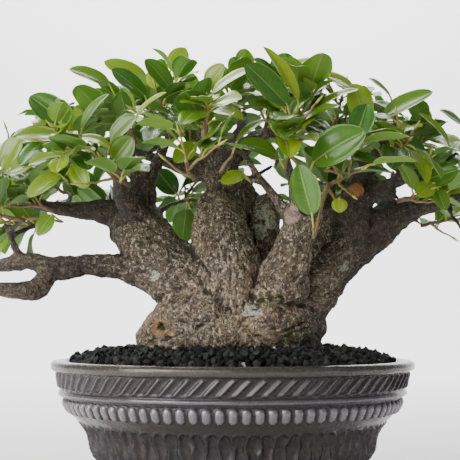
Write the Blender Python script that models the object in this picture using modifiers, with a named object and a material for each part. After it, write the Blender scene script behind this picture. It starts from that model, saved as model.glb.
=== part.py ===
"""A ficus bonsai in a round footed ceramic pot.

The wood, from the root flare to the branch tips, grew as one piece and is one node. Each leafy
shoot, the pot, the soil, the drainage screen and its wire are nodes of their own.
The origin is on the pot's axis, on the surface that the pot stands on. +X is to the right of the
front and -Y faces the front.
"""

import math
import random

import bmesh
import bpy
from mathutils import Matrix, Vector
from mathutils.bvhtree import BVHTree

MM = 0.001
GAP = 0.3 * MM
WELD = 0.01 * MM

# Pot
POT_HEIGHT = 80.0 * MM
RIM_RADIUS = 105.0 * MM
WALL = 8.0 * MM
FOOT_RADIUS = 66.0 * MM
FOOT_WIDTH = 9.0 * MM
FOOT_HEIGHT = 13.0 * MM
FLOOR_TOP = 22.0 * MM
DRAIN_RADIUS = 8.0 * MM
POT_STEPS = 44

# Soil
SOIL_CREST = 87.0 * MM
SOIL_EDGE = 78.0 * MM
SOIL_SHOULDER = 5
SOIL_STEPS = 28
SCREEN_POCKET_RADIUS = 27.0 * MM
SCREEN_POCKET_DEPTH = 4.5 * MM

# Drainage screen and its wire
SCREEN_SIDE = 34.0 * MM
SCREEN_CELLS = 6
SCREEN_STRAND = 1.4 * MM
WIRE_RADIUS = 0.6 * MM
WIRE_LEG_X = 0.5 * SCREEN_SIDE / SCREEN_CELLS
WIRE_END_X = 17.0 * MM

# Wood
VOXEL = 1.5 * MM
WOOD_TRIANGLES = 5400
ROOT_COUNT = 11
ROOT_REACH = 57.0 * MM
BRANCHING_RADIUS = 8.5 * MM
TWIG_ROOT_RADIUS = 2.3 * MM
TWIG_END_RADIUS = 1.6 * MM

# Crown
CROWN_REACH_X = 175.0 * MM
CROWN_REACH_Y = 120.0 * MM
CROWN_HALF_X = 142.0 * MM
CROWN_HALF_Y = 80.0 * MM
CROWN_TOP = 247.0 * MM
CROWN_FALL_X = 2.1
CROWN_FALL_Y = 4.2
UPPER_SHOOTS = 27
LOWER_SHOOTS = 13
UPPER_DEPTH = 33.0 * MM
LOWER_DEPTH = 57.0 * MM
LEAVES_PER_SHOOT = 6
LEAF_LENGTH = 27.0 * MM
LEAF_WIDTH = 14.5 * MM
LEAF_THICKNESS = 0.8 * MM
SHOOT_RADIUS = 1.1 * MM
GOLDEN_ANGLE = math.pi * (3.0 - math.sqrt(5.0))

# Each limb runs from inside the trunk to its tip: x, y, z and radius in millimetres.
LIMBS = {
    "centre": [(0, 6, 106, 33), (-4, 8, 130, 24), (-7, 8, 150, 18), (-6, 8, 165, 15.5),
               (-6, 8, 177, 12), (-6, 8, 190, 11), (-10, 8, 203, 9), (-17, 8, 218, 6.5),
               (-21, 8, 232, 4)],
    "centre_left": [(-8, 10, 190, 8), (-18, 14, 193, 7), (-28, 18, 195, 5.5), (-42, 24, 200, 4),
                    (-58, 32, 206, 3), (-74, 40, 212, 2.2)],
    "centre_right": [(-6, 10, 196, 8), (6, 16, 207, 6), (20, 20, 216, 4.5), (36, 24, 222, 3.2),
                     (52, 26, 228, 2.2)],
    "centre_back": [(-10, 12, 200, 7), (-10, 26, 211, 5), (-6, 42, 218, 3.5), (0, 58, 222, 2.4)],
    "centre_front": [(-8, 4, 194, 7), (-2, -10, 203, 5), (4, -28, 209, 3.8), (6, -46, 213, 3),
                     (6, -62, 214, 2.2)],
    "left_arm": [(-8, -4, 106, 28), (-22, -6, 120, 22), (-37, -6, 133, 18.5), (-49, -5, 146, 16.8),
                 (-58, -1, 158, 15.5), (-62, 1, 166, 13)],
    "left_reach": [(-61, 1, 163, 12), (-72, 2, 165.5, 8.2), (-84, 1, 167, 6.3), (-98, -2, 168, 4.8),
                   (-110, -4, 169.5, 3.8), (-130, -5, 174, 2.8), (-146, -4, 181, 2.2)],
    "left_rise": [(-58, 3, 166, 12), (-53, 5, 177, 9), (-55, 8, 186, 8), (-60, 10, 195, 5.5),
                  (-67, 12, 207, 3.8), (-74, 14, 219, 2.4)],
    "left_prong": [(-54, 5, 178, 7.5), (-48, 9, 191, 5), (-42, 12, 205, 3.4), (-36, 16, 219, 2.3)],
    "left_front": [(-54, -4, 158, 9), (-60, -18, 168, 6.5), (-63, -34, 178, 4.8),
                   (-63, -52, 186, 3.4), (-61, -68, 193, 2.4)],
    "low_branch": [(-26, -8, 118, 13), (-40, -10, 124, 10.5), (-53, -12, 129.5, 8.4),
                   (-63, -12, 132.5, 7.6), (-74, -12, 134.5, 7), (-85, -12, 134.5, 6.6),
                   (-96, -12, 133, 7.3), (-107, -12, 131.5, 7.8)],
    "low_upper_fork": [(-105, -12, 133, 6), (-116, -10, 137, 5), (-128, -8, 135.5, 4.6),
                       (-140, -6, 133.5, 4), (-151, -3, 135, 3), (-159, 0, 140, 2.2)],
    "low_lower_fork": [(-105, -12, 130, 6.5), (-111.5, -14, 121.5, 6.6), (-122, -16, 119.5, 5.2),
                       (-136, -18, 121, 4.6), (-148, -20, 120.5, 3.4), (-157, -22, 124, 2.2)],
    "low_twig": [(-122, -9, 137, 3), (-125.5, -9, 143, 2.4), (-129, -9, 151, 2), (-133, -10, 161, 1.7)],
    "front_stub": [(18, -12, 106, 24), (27, -23, 121, 17), (32, -30, 135, 12.5),
                   (35, -33, 147, 10.2), (37, -35, 157, 9.4), (37, -36, 162, 8.6)],
    "front_shoot_a": [(36, -35, 158, 4.5), (34, -40, 172, 3.2), (31, -46, 186, 2.6), (28, -54, 200, 2)],
    "front_shoot_b": [(33, -33, 156, 4.5), (24, -35, 171, 3.2), (14, -38, 183, 2.6), (6, -44, 195, 2)],
    "right_arm": [(27, 0, 106, 26), (41, -2, 116, 19), (51.5, -4, 127, 15), (62, -4, 138, 13.3),
                  (74, -4, 148.5, 13), (86, -4, 157, 12.5), (96, -4, 164, 9.6), (108, -4, 169, 7),
                  (122, -4, 172.5, 5.2), (135, -4, 175, 4.2), (147, -3, 180, 3), (156, 0, 187, 2.2)],
    "right_rise": [(72, -8, 150, 12), (70, -10, 162, 11.5), (71, -12, 172, 10), (75, -12, 184, 7),
                   (82, -10, 196, 4.8), (90, -8, 208, 3.4), (97, -6, 220, 2.3)],
    "right_cut_stub": [(71, -14, 173, 6), (71, -22, 175.5, 5), (71, -27, 177, 4.4)],
    "right_front": [(78, -14, 174, 5.5), (90, -23, 180, 4), (104, -32, 185, 3.2),
                    (116, -41, 190, 2.6), (123, -50, 195, 2)],
    "right_back": [(84, -2, 160, 8), (92, 14, 170, 5.5), (98, 32, 180, 4), (102, 50, 190, 2.8),
                   (104, 64, 199, 2)],
    "back_centre": [(8, 18, 108, 26), (13, 28, 130, 13), (17, 32, 148, 9.5), (17, 34, 160, 8),
                    (14, 41, 175, 6), (8, 53, 188, 4.4), (0, 67, 198, 3.2), (-9, 80, 206, 2.2)],
    "back_right": [(32, 16, 108, 22), (44, 28, 131, 11.5), (52, 32, 148, 8.5), (55, 35, 160, 7),
                   (59, 43, 174, 5), (64, 55, 186, 3.8), (68, 69, 196, 2.8), (70, 82, 203, 2)],
    "back_left": [(-18, 14, 110, 24), (-31, 27, 131, 13), (-40, 38, 149, 8.5), (-47, 49, 165, 6),
                  (-56, 62, 179, 4.2), (-65, 75, 191, 2.6)],
    "left_root": [(-24, -12, 101, 18), (-37, -14, 100, 12.5), (-44, -16, 96, 10.5), (-49, -17, 86, 8)],
}
# Swellings of the trunk base: centre and half-sizes in millimetres.
BASE_LUMPS = [
    ((1, 0, 95), (49, 42, 26)),
    ((-16, -14, 103), (30, 26, 19)),
    ((17, -17, 100), (31, 25, 19)),
    ((30, 4, 100), (25, 26, 22)),
    ((-23, 8, 102), (24, 24, 17)),
    ((4, 22, 104), (34, 18, 22)),
]


def clear_scene():
    for item in list(bpy.data.objects):
        bpy.data.objects.remove(item, do_unlink=True)


def new_collection(name, guides=False):
    group = bpy.data.collections.new(name)
    group.hide_render = guides
    bpy.context.scene.collection.children.link(group)
    return group


def make_material(name, color, roughness, metallic=0.0):
    material = bpy.data.materials.new(name)
    material.use_nodes = True
    shader = material.node_tree.nodes["Principled BSDF"]
    shader.inputs["Base Color"].default_value = (*color, 1.0)
    shader.inputs["Roughness"].default_value = roughness
    shader.inputs["Metallic"].default_value = metallic
    return material


def mesh_of(item):
    """The evaluated mesh of an object, as a mesh of its own."""
    bpy.context.view_layer.update()
    graph = bpy.context.evaluated_depsgraph_get()
    return bpy.data.meshes.new_from_object(item.evaluated_get(graph), depsgraph=graph)


def add_object(name, data, group, material=None):
    item = bpy.data.objects.new(name, data)
    group.objects.link(item)
    if material:
        data.materials.clear()
        data.materials.append(material)
    return item


def shade_smooth(item, angle=math.radians(40)):
    item.data.shade_smooth()
    item.data.set_sharp_from_angle(angle=angle)


def weld(mesh):
    work = bmesh.new()
    work.from_mesh(mesh)
    bmesh.ops.remove_doubles(work, verts=work.verts, dist=WELD)
    bmesh.ops.recalc_face_normals(work, faces=work.faces)
    work.to_mesh(mesh)
    work.free()


def smooth_path(points, spans):
    """Points on a Catmull-Rom curve through the given ones, each a vector of any size."""
    ends = [points[0] * 2 - points[1]] + points + [points[-1] * 2 - points[-2]]
    path = []
    for i in range(1, len(ends) - 2):
        a, b, c, d = ends[i - 1:i + 3]
        for step in range(spans):
            t = step / spans
            path.append(0.5 * (2 * b + (c - a) * t + (2 * a - 5 * b + 4 * c - d) * t * t
                               + (3 * b - a - 3 * c + d) * t ** 3))
    path.append(points[-1])
    return path


def tube(name, path, radii, group, resolution):
    """A closed mesh tube along a path, made as a bevelled curve with welded caps."""
    curve = bpy.data.curves.new(name, "CURVE")
    curve.dimensions = "3D"
    curve.bevel_depth = 1.0
    curve.bevel_resolution = resolution
    curve.use_fill_caps = True
    spline = curve.splines.new("POLY")
    spline.points.add(len(path) - 1)
    for point, place, radius in zip(spline.points, path, radii):
        point.co = (*place, 1.0)
        point.radius = radius
    guide = add_object(name + "_curve", curve, group)
    mesh = mesh_of(guide)
    bpy.data.objects.remove(guide, do_unlink=True)
    weld(mesh)
    mesh.name = name
    return mesh


def turned(name, profile, steps, group, material):
    """A body turned about Z from a profile that runs down its outer side, top to bottom."""
    mesh = bpy.data.meshes.new(name)
    closed = profile[0][0] > 0 and profile[-1][0] > 0
    edges = [(i, i + 1) for i in range(len(profile) - 1)]
    if closed:
        edges.append((len(profile) - 1, 0))
    mesh.from_pydata([(r, 0.0, z) for r, z in profile], edges, [])
    item = add_object(name, mesh, group, material)
    screw = item.modifiers.new("Turn", "SCREW")
    screw.axis = "Z"
    screw.steps = steps
    screw.render_steps = steps
    screw.use_merge_vertices = True
    screw.merge_threshold = WELD
    screw.use_smooth_shade = True
    return item


def arc(centre_r, centre_z, radius, start, end, count):
    """Profile points on an arc, with angles in degrees from +R towards +Z."""
    angles = [math.radians(start + (end - start) * i / (count - 1)) for i in range(count)]
    return [(centre_r + radius * math.cos(a), centre_z + radius * math.sin(a)) for a in angles]


def make_pot(group):
    inner = RIM_RADIUS - WALL
    foot_inner = FOOT_RADIUS - FOOT_WIDTH
    lip = arc(RIM_RADIUS - 2.6 * MM, POT_HEIGHT - 2.6 * MM, 2.6 * MM, 90, -60, 4)
    collar = [
        (RIM_RADIUS - 3.2 * MM, POT_HEIGHT - 6.0 * MM),
        (RIM_RADIUS - 5.0 * MM, POT_HEIGHT - 17.0 * MM),
        (RIM_RADIUS - 7.2 * MM, POT_HEIGHT - 23.5 * MM),
        (RIM_RADIUS - 7.6 * MM, POT_HEIGHT - 26.5 * MM),
    ]
    cove = [
        (RIM_RADIUS - 10.5 * MM, POT_HEIGHT - 30.0 * MM),
        (RIM_RADIUS - 16.0 * MM, POT_HEIGHT - 34.0 * MM),
        (RIM_RADIUS - 20.0 * MM, POT_HEIGHT - 38.5 * MM),
        (RIM_RADIUS - 22.3 * MM, POT_HEIGHT - 43.5 * MM),
    ]
    waist = arc(RIM_RADIUS - 40.0 * MM, POT_HEIGHT - 47.5 * MM, 17.0 * MM, 0, -75, 4)
    foot = [
        (FOOT_RADIUS - 4.0 * MM, FOOT_HEIGHT),
        (FOOT_RADIUS, 5.0 * MM),
        (FOOT_RADIUS, 0.0),
        (foot_inner, 0.0),
        (foot_inner, FOOT_HEIGHT - 3.0 * MM),
    ]
    underside = [(DRAIN_RADIUS, FOOT_HEIGHT + 1.0 * MM), (DRAIN_RADIUS, FLOOR_TOP)]
    inside = [
        (0.62 * RIM_RADIUS, FLOOR_TOP + 1.0 * MM),
        (0.69 * RIM_RADIUS, FLOOR_TOP + 7.0 * MM),
        (0.77 * RIM_RADIUS, POT_HEIGHT - 34.0 * MM),
        (0.87 * RIM_RADIUS, POT_HEIGHT - 22.0 * MM),
        (inner - 1.0 * MM, POT_HEIGHT - 6.0 * MM),
        (inner + 1.0 * MM, POT_HEIGHT - 0.6 * MM),
    ]
    material = make_material("pot_ceramic", (0.16, 0.145, 0.14), 0.38, 0.2)
    profile = lip + collar + cove + waist + foot + underside + inside
    return turned("pot", profile, POT_STEPS, group, material)


def soil_height(radius):
    """Height of the mounded soil at a distance from the pot's axis."""
    edge = RIM_RADIUS - WALL - 2.0 * MM
    return SOIL_EDGE + (SOIL_CREST - SOIL_EDGE) * (1.0 - (radius / edge) ** SOIL_SHOULDER)


def make_soil(wood, group, guides):
    top = [(r * MM, soil_height(r * MM)) for r in (0, 30, 60, 74, 84, 90)]
    edge = RIM_RADIUS - WALL - 2.0 * MM
    side = [
        (edge, SOIL_EDGE),
        (edge - 1.5 * MM, POT_HEIGHT - 8.0 * MM),
        (0.87 * RIM_RADIUS - 1.2 * MM, POT_HEIGHT - 22.0 * MM),
        (0.77 * RIM_RADIUS - 1.2 * MM, POT_HEIGHT - 34.0 * MM),
        (0.69 * RIM_RADIUS - 1.2 * MM, FLOOR_TOP + 7.6 * MM),
        (0.62 * RIM_RADIUS - 1.2 * MM, FLOOR_TOP + 1.8 * MM),
        (SCREEN_POCKET_RADIUS, FLOOR_TOP + 1.2 * MM),
        (SCREEN_POCKET_RADIUS, FLOOR_TOP + SCREEN_POCKET_DEPTH),
        (0.0, FLOOR_TOP + SCREEN_POCKET_DEPTH),
    ]
    material = make_material("soil_grit", (0.012, 0.012, 0.013), 0.9)
    soil = turned("soil", top + side, SOIL_STEPS, group, material)
    socket = add_object("soil_socket", wood.data.copy(), guides)
    socket.hide_render = True
    socket.display_type = "WIRE"
    grow = socket.modifiers.new("Clearance", "DISPLACE")
    grow.strength = 1.5 * GAP
    grow.mid_level = 0.0
    cut = soil.modifiers.new("Trunk socket", "BOOLEAN")
    cut.operation = "DIFFERENCE"
    cut.solver = "EXACT"
    cut.object = socket
    return soil


def make_screen(group):
    bpy.ops.mesh.primitive_grid_add(x_subdivisions=SCREEN_CELLS, y_subdivisions=SCREEN_CELLS,
                                    size=SCREEN_SIDE)
    grid = bpy.context.object
    mesh = grid.data
    bpy.data.objects.remove(grid, do_unlink=True)
    screen = add_object("drainage_screen", mesh, group,
                        make_material("screen_plastic", (0.02, 0.02, 0.022), 0.6))
    screen.location.z = FLOOR_TOP + GAP + 0.5 * SCREEN_STRAND
    strands = screen.modifiers.new("Strands", "WIREFRAME")
    strands.thickness = SCREEN_STRAND
    strands.use_even_offset = False
    strands.use_boundary = True
    strands.use_replace = True
    return screen


def make_screen_wire(group):
    over = FLOOR_TOP + 2 * GAP + SCREEN_STRAND + WIRE_RADIUS + 0.4 * MM
    under = FOOT_HEIGHT - 3.0 * MM - GAP - WIRE_RADIUS
    row = 0.5 * SCREEN_SIDE / SCREEN_CELLS
    half = [
        Vector((WIRE_LEG_X - 0.8 * MM, row, over)),
        Vector((WIRE_LEG_X, row, over - 0.8 * MM)),
        Vector((WIRE_LEG_X, row, under + 0.8 * MM)),
        Vector((WIRE_LEG_X + 0.8 * MM, row, under)),
        Vector((WIRE_END_X, row, under)),
    ]
    path = [Vector((-p.x, p.y, p.z)) for p in reversed(half)] + half
    mesh = tube("screen_wire", path, [WIRE_RADIUS] * len(path), group, 2)
    material = make_material("wire_aluminium", (0.6, 0.6, 0.62), 0.35, 1.0)
    return add_object("screen_wire", mesh, group, material)


def limb_paths():
    paths = []
    for points in LIMBS.values():
        rows = [Vector(p) * MM for p in points]
        paths.append(smooth_path(rows, 3))
    return paths


def root_paths():
    """Surface roots that spread from the base and dive into the soil."""
    chance = random.Random(7)
    paths = []
    for i in range(ROOT_COUNT):
        angle = 2 * math.pi * (i + 0.35) / ROOT_COUNT + chance.uniform(-0.2, 0.2)
        reach = ROOT_REACH * chance.uniform(0.86, 1.0)
        thick = chance.uniform(11.0, 15.0) * MM
        out = Vector((math.cos(angle) * 1.0, math.sin(angle) * 0.8, 0.0))
        rows = []
        for share, height, scale in ((0.3, 96, 1.3), (0.6, 91, 1.15), (0.85, 84, 0.9), (1.05, 75, 0.5)):
            place = out * reach * share
            rows.append(Vector((*place.xy, height * MM, thick * scale)))
        paths.append(smooth_path(rows, 3))
    return paths


def shoot_places():
    """Where each leafy shoot starts and the way it grows, spread evenly through the crown."""
    places = []
    for layer, count, depth in ((0, UPPER_SHOOTS, UPPER_DEPTH), (1, LOWER_SHOOTS, LOWER_DEPTH)):
        for i in range(count):
            share = math.sqrt((i + 0.5) / count)
            if layer:
                share = 0.62 + 0.38 * share
            angle = i * GOLDEN_ANGLE + layer * 0.9
            x = CROWN_HALF_X * share * math.cos(angle)
            y = CROWN_HALF_Y * share * math.sin(angle)
            fall_y = CROWN_FALL_Y * (0.5 if layer else 1.0)
            top = CROWN_TOP - CROWN_FALL_X * x * x - fall_y * y * y
            start = Vector((x, y, top - depth))
            out = Vector((x / CROWN_HALF_X, y / CROWN_HALF_Y, 0.0))
            lift = (1.15 - 0.75 * share) * (0.35 if layer else 1.0)
            places.append((start, (out + Vector((0, 0, lift))).normalized()))
    return places


def branch_path(start, grow, limbs):
    """A thin branch from the nearest limb to where a shoot starts."""
    def cost(row):
        return (row.xyz - start).length + max(0.0, row.z - start.z)

    thin = [row for path in limbs for row in path if row[3] < BRANCHING_RADIUS]
    root = min(thin, key=cost).xyz
    reach = (root - start).length
    middle = (root + start) / 2 - grow * 0.12 * reach + Vector((0, 0, 0.10 * reach))
    late = root.lerp(start, 0.82) - grow * 0.05 * reach + Vector((0, 0, 0.05 * reach))
    rows = []
    for place, share in ((root, 0.0), (middle, 0.5), (late, 0.82), (start, 1.0)):
        radius = TWIG_ROOT_RADIUS + (TWIG_END_RADIUS - TWIG_ROOT_RADIUS) * share
        rows.append(Vector((*place, radius)))
    return smooth_path(rows, 3)


def make_trunk(places, group, guides):
    limbs = limb_paths()
    paths = limbs + root_paths()
    paths += [branch_path(start, grow, limbs) for start, grow in places]
    body = bmesh.new()
    for i, path in enumerate(paths):
        mesh = tube("limb_%02d" % i, [row.xyz for row in path], [row[3] for row in path], guides, 2)
        body.from_mesh(mesh)
        bpy.data.meshes.remove(mesh)
    for centre, sizes in BASE_LUMPS:
        place = Matrix.Translation(Vector(centre) * MM) @ Matrix.Diagonal((*[s * MM for s in sizes], 1))
        bmesh.ops.create_uvsphere(body, u_segments=24, v_segments=14, radius=1.0, matrix=place)
    mesh = bpy.data.meshes.new("trunk")
    body.to_mesh(mesh)
    body.free()
    rough = add_object("trunk_rough", mesh, guides)
    skin = rough.modifiers.new("Skin", "REMESH")
    skin.mode = "VOXEL"
    skin.voxel_size = VOXEL
    soften = rough.modifiers.new("Soften", "SMOOTH")
    soften.factor = 0.5
    soften.iterations = 5
    fine = mesh_of(rough)
    rough.modifiers.clear()
    rough.data = fine
    fine.calc_loop_triangles()
    thin = rough.modifiers.new("Thin out", "DECIMATE")
    thin.ratio = WOOD_TRIANGLES / len(fine.loop_triangles)
    thin.use_collapse_triangulate = True
    final = mesh_of(rough)
    bpy.data.objects.remove(rough, do_unlink=True)
    trunk = add_object("trunk", final, group, make_material("bark", (0.19, 0.15, 0.12), 0.85))
    shade_smooth(trunk)
    return trunk


def leaf_blank():
    """A flat leaf with its stalk end at the origin, its tip along +X and its face along +Z."""
    half = LEAF_WIDTH / 2
    side = [(0.0, 0.06), (0.45, 0.86), (0.72, 0.86)]
    outline = [(LEAF_LENGTH * x, half * y) for x, y in side] + [(LEAF_LENGTH, 0.0)]
    outline += [(LEAF_LENGTH * x, -half * y) for x, y in reversed(side)]
    curve = bpy.data.curves.new("leaf_blank", "CURVE")
    curve.dimensions = "2D"
    curve.fill_mode = "BOTH"
    curve.extrude = LEAF_THICKNESS / 2
    spline = curve.splines.new("POLY")
    spline.points.add(len(outline) - 1)
    for point, (x, y) in zip(spline.points, outline):
        point.co = (x, y, 0.0, 1.0)
    spline.use_cyclic_u = True
    guide = add_object("leaf_curve", curve, bpy.context.scene.collection)
    mesh = mesh_of(guide)
    bpy.data.objects.remove(guide, do_unlink=True)
    weld(mesh)
    return mesh


def leaf_frame(origin, along, face):
    """A placement with X along the leaf and Z on its upper face."""
    x = along.normalized()
    y = face.cross(x).normalized()
    z = x.cross(y)
    turn = Matrix((x, y, z)).transposed().to_4x4()
    return Matrix.Translation(origin) @ turn


def tree_of(mesh, place):
    points = [place @ v.co for v in mesh.vertices]
    faces = [tuple(p.vertices) for p in mesh.polygons]
    return BVHTree.FromPolygons(points, faces)


def is_clear(mesh, place, placed):
    """Whether a leaf keeps inside the crown and, a little larger, meets nothing placed before."""
    points = [place @ v.co for v in mesh.vertices]
    if max(abs(p.x) for p in points) > CROWN_REACH_X or max(abs(p.y) for p in points) > CROWN_REACH_Y:
        return False
    margin = Matrix.Diagonal((1.03, 1.08, 2.6, 1.0))
    trial = tree_of(mesh, place @ margin)
    return not any(trial.overlap(other) for other in placed)


def shoot_leaves(path, blank, placed, chance):
    """Placements of the leaves along one shoot, alternate and clear of everything else."""
    leaves = []
    spin = chance.uniform(0, 2 * math.pi)
    last = len(path) - 1
    for i in range(LEAVES_PER_SHOOT):
        share = 0.22 + 0.76 * i / (LEAVES_PER_SHOOT - 1)
        at = share * last
        low = min(int(at), last - 1)
        origin = path[low].lerp(path[low + 1], at - low)
        axis = (path[low + 1] - path[low]).normalized()
        side = axis.orthogonal().normalized()
        for attempt in range(14):
            angle = spin + i * 2.4 + attempt * 0.55
            around = Matrix.Rotation(angle, 3, axis) @ side
            lean = 0.35 + 0.6 * share
            along = (around + axis * lean).normalized()
            face = (Vector((0, 0, 1.0)) + axis * 0.3 - around * 0.25).normalized()
            place = leaf_frame(origin, along, face)
            if is_clear(blank, place, placed):
                leaves.append(place)
                break
    return leaves


def clear_twig(name, start, grow, placed, chance, guides):
    """The path and mesh of a shoot's twig, tried at a few angles until it meets nothing."""
    for attempt in range(60):
        length = chance.uniform(26, 31) * MM
        bend = Vector((chance.uniform(-0.3, 0.3), chance.uniform(-0.3, 0.3), 0.35))
        first = start + grow * (2.6 + 0.08 * attempt) * MM
        rows = [first, first + grow * 0.5 * length, first + (grow + 0.45 * bend).normalized() * length]
        path = smooth_path(rows, 1)
        radii = [SHOOT_RADIUS * (1.0 - 0.35 * i / (len(path) - 1)) for i in range(len(path))]
        wide = tube(name + "_wide", path, [radius + 2 * GAP for radius in radii], guides, 0)
        trial = tree_of(wide, Matrix.Identity(4))
        bpy.data.meshes.remove(wide)
        if not any(trial.overlap(other) for other in placed):
            return path, tube(name, path, radii, guides, 0)
        grow = (grow + Vector([chance.uniform(-0.35, 0.35) for _ in range(3)])).normalized()
    raise ValueError(name + " finds no clear place")


def make_shoot(name, start, grow, blank, placed, chance, group, guides, material):
    """One leafy shoot: a green twig and its leaves, joined into one body."""
    path, twig_mesh = clear_twig(name + "_twig", start, grow, placed, chance, guides)
    twig = add_object(name + "_twig", twig_mesh, guides)
    pieces = bpy.data.collections.new(name + "_leaves")
    leaves = shoot_leaves(path, blank, placed, chance)
    for place in leaves:
        leaf = add_object(name + "_leaf", blank.copy(), pieces)
        leaf.matrix_world = place
    join = twig.modifiers.new("Join leaves", "BOOLEAN")
    join.operation = "UNION"
    join.operand_type = "COLLECTION"
    join.collection = pieces
    join.solver = "EXACT"
    mesh = mesh_of(twig)
    for leaf in list(pieces.objects):
        bpy.data.objects.remove(leaf, do_unlink=True)
    bpy.data.collections.remove(pieces)
    bpy.data.objects.remove(twig, do_unlink=True)
    shoot = add_object(name, mesh, group, material)
    placed.append(tree_of(mesh, Matrix.Identity(4)))
    return shoot


def make_shoots(places, trunk, group, guides):
    blank = leaf_blank()
    material = make_material("leaf", (0.05, 0.17, 0.035), 0.35)
    placed = [tree_of(trunk.data, Matrix.Identity(4))]
    chance = random.Random(21)
    for i, (start, grow) in enumerate(places):
        make_shoot("shoot_%02d" % (i + 1), start, grow, blank, placed, chance, group, guides, material)


def main():
    clear_scene()
    group = new_collection("bonsai_tree_in_pot")
    guides = new_collection("cutters_and_guides", guides=True)
    places = shoot_places()
    trunk = make_trunk(places, group, guides)
    make_pot(group)
    make_soil(trunk, group, guides)
    make_screen(group)
    make_screen_wire(group)
    make_shoots(places, trunk, group, guides)


main()
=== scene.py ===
"""A ficus bonsai in a round footed pot: the finished look of the plant, built round its CAD frame.

Lengths are in metres. The origin is on the pot's axis, on the surface that the pot stands on.
+X is to the right of the front and -Y faces the front.
"""

import math
import random

import bmesh
import bpy
import numpy as np
from bpy.props import FloatProperty, FloatVectorProperty, IntProperty, PointerProperty
from mathutils import Matrix, Vector, noise
from mathutils.bvhtree import BVHTree


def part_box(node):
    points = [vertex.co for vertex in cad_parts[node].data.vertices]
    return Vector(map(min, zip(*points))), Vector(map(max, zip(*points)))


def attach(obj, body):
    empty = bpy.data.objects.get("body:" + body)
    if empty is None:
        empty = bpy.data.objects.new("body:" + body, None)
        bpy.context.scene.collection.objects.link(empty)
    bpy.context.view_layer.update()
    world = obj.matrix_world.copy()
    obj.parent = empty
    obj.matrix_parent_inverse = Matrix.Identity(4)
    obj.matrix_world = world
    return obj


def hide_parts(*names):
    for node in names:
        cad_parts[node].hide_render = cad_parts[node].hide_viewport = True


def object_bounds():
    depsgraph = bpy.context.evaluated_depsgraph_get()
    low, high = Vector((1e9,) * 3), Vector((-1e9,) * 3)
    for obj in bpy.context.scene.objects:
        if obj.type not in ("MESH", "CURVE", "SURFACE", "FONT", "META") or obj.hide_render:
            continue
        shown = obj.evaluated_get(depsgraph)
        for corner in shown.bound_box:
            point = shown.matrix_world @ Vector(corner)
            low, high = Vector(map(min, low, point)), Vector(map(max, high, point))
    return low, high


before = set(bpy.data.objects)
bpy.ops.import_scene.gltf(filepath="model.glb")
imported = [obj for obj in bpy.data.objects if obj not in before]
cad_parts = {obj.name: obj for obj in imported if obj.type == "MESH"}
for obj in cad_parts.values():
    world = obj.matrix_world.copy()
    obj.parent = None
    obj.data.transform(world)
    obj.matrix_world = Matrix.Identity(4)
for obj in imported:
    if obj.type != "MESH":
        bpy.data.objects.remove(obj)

bl_info = {
    "name": "Potted Bonsai",
    "version": (1, 0, 0),
    "blender": (4, 5, 0),
    "location": "View3D > Sidebar > Bonsai",
    "description": "Builds a leafy ficus bonsai in a carved round pot",
    "category": "Add Mesh",
}

MM = 0.001
CAD_BOX = [list(corner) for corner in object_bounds()]
RIM_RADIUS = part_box("pot")[1].x
GOLDEN_ANGLE = math.pi * (3.0 - math.sqrt(5.0))
SHOOTS = sorted(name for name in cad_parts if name.startswith("shoot_"))
UPPER_SHOOTS = 27
LOWER_SHOOTS = len(SHOOTS) - UPPER_SHOOTS


# ---------------------------------------------------------------- settings

def length(name, description, default, low=0.0):
    return FloatProperty(name=name, description=description, default=default, min=low,
                         subtype="DISTANCE", unit="LENGTH", precision=4)


def colour(name, description, default):
    return FloatVectorProperty(name=name, description=description, default=default, size=3,
                               min=0.0, max=1.0, subtype="COLOR")


def amount(name, description, default):
    return IntProperty(name=name, description=description, default=default, min=1)


def power(name, description, default):
    return FloatProperty(name=name, description=description, default=default, min=0.0)


class PotSettings(bpy.types.PropertyGroup):
    rim_radius: length("Rim radius", "Outer radius of the pot's rim", RIM_RADIUS)
    strokes: amount("Strokes", "Slanting strokes carved under the rim", 82)
    beads: amount("Beads", "Long beads round the shoulder", 90)
    flutes: amount("Flutes", "Hollow flutes round the bowl", 76)
    stroke_depth: length("Stroke depth", "How far the strokes stand out", 1.7 * MM)
    bead_depth: length("Bead depth", "How far the beads stand out", 1.9 * MM)
    flute_depth: length("Flute depth", "How deep the flutes are", 1.6 * MM)
    body: colour("Clay", "Colour of the burnished clay", (0.078, 0.071, 0.077))
    # Rubbed crests, made lighter still as a painted highlight on the strokes, beads and ridge band.
    crest_and_sheen: colour("Crests", "Colour of the rubbed crests", (0.44, 0.412, 0.44))
    hollow: colour("Hollows", "Colour left in the hollows", (0.036, 0.028, 0.027))
    rim: colour("Rim", "Colour of the glazed rim", (0.118, 0.112, 0.092))


class SoilSettings(bpy.types.PropertyGroup):
    grain: length("Grain size", "Usual size of a grain of grit", 4.0 * MM)
    bottom_grains: amount("Bottom grains", "Grains in the lower layer", 2700)
    top_grains: amount("Top grains", "Loose grains on the lower layer", 950)
    dark: colour("Grit", "Colour of the dark grit", (0.0014, 0.0014, 0.002))
    pale: colour("Specks", "Colour of the few pale specks", (0.5, 0.5, 0.47))


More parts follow.
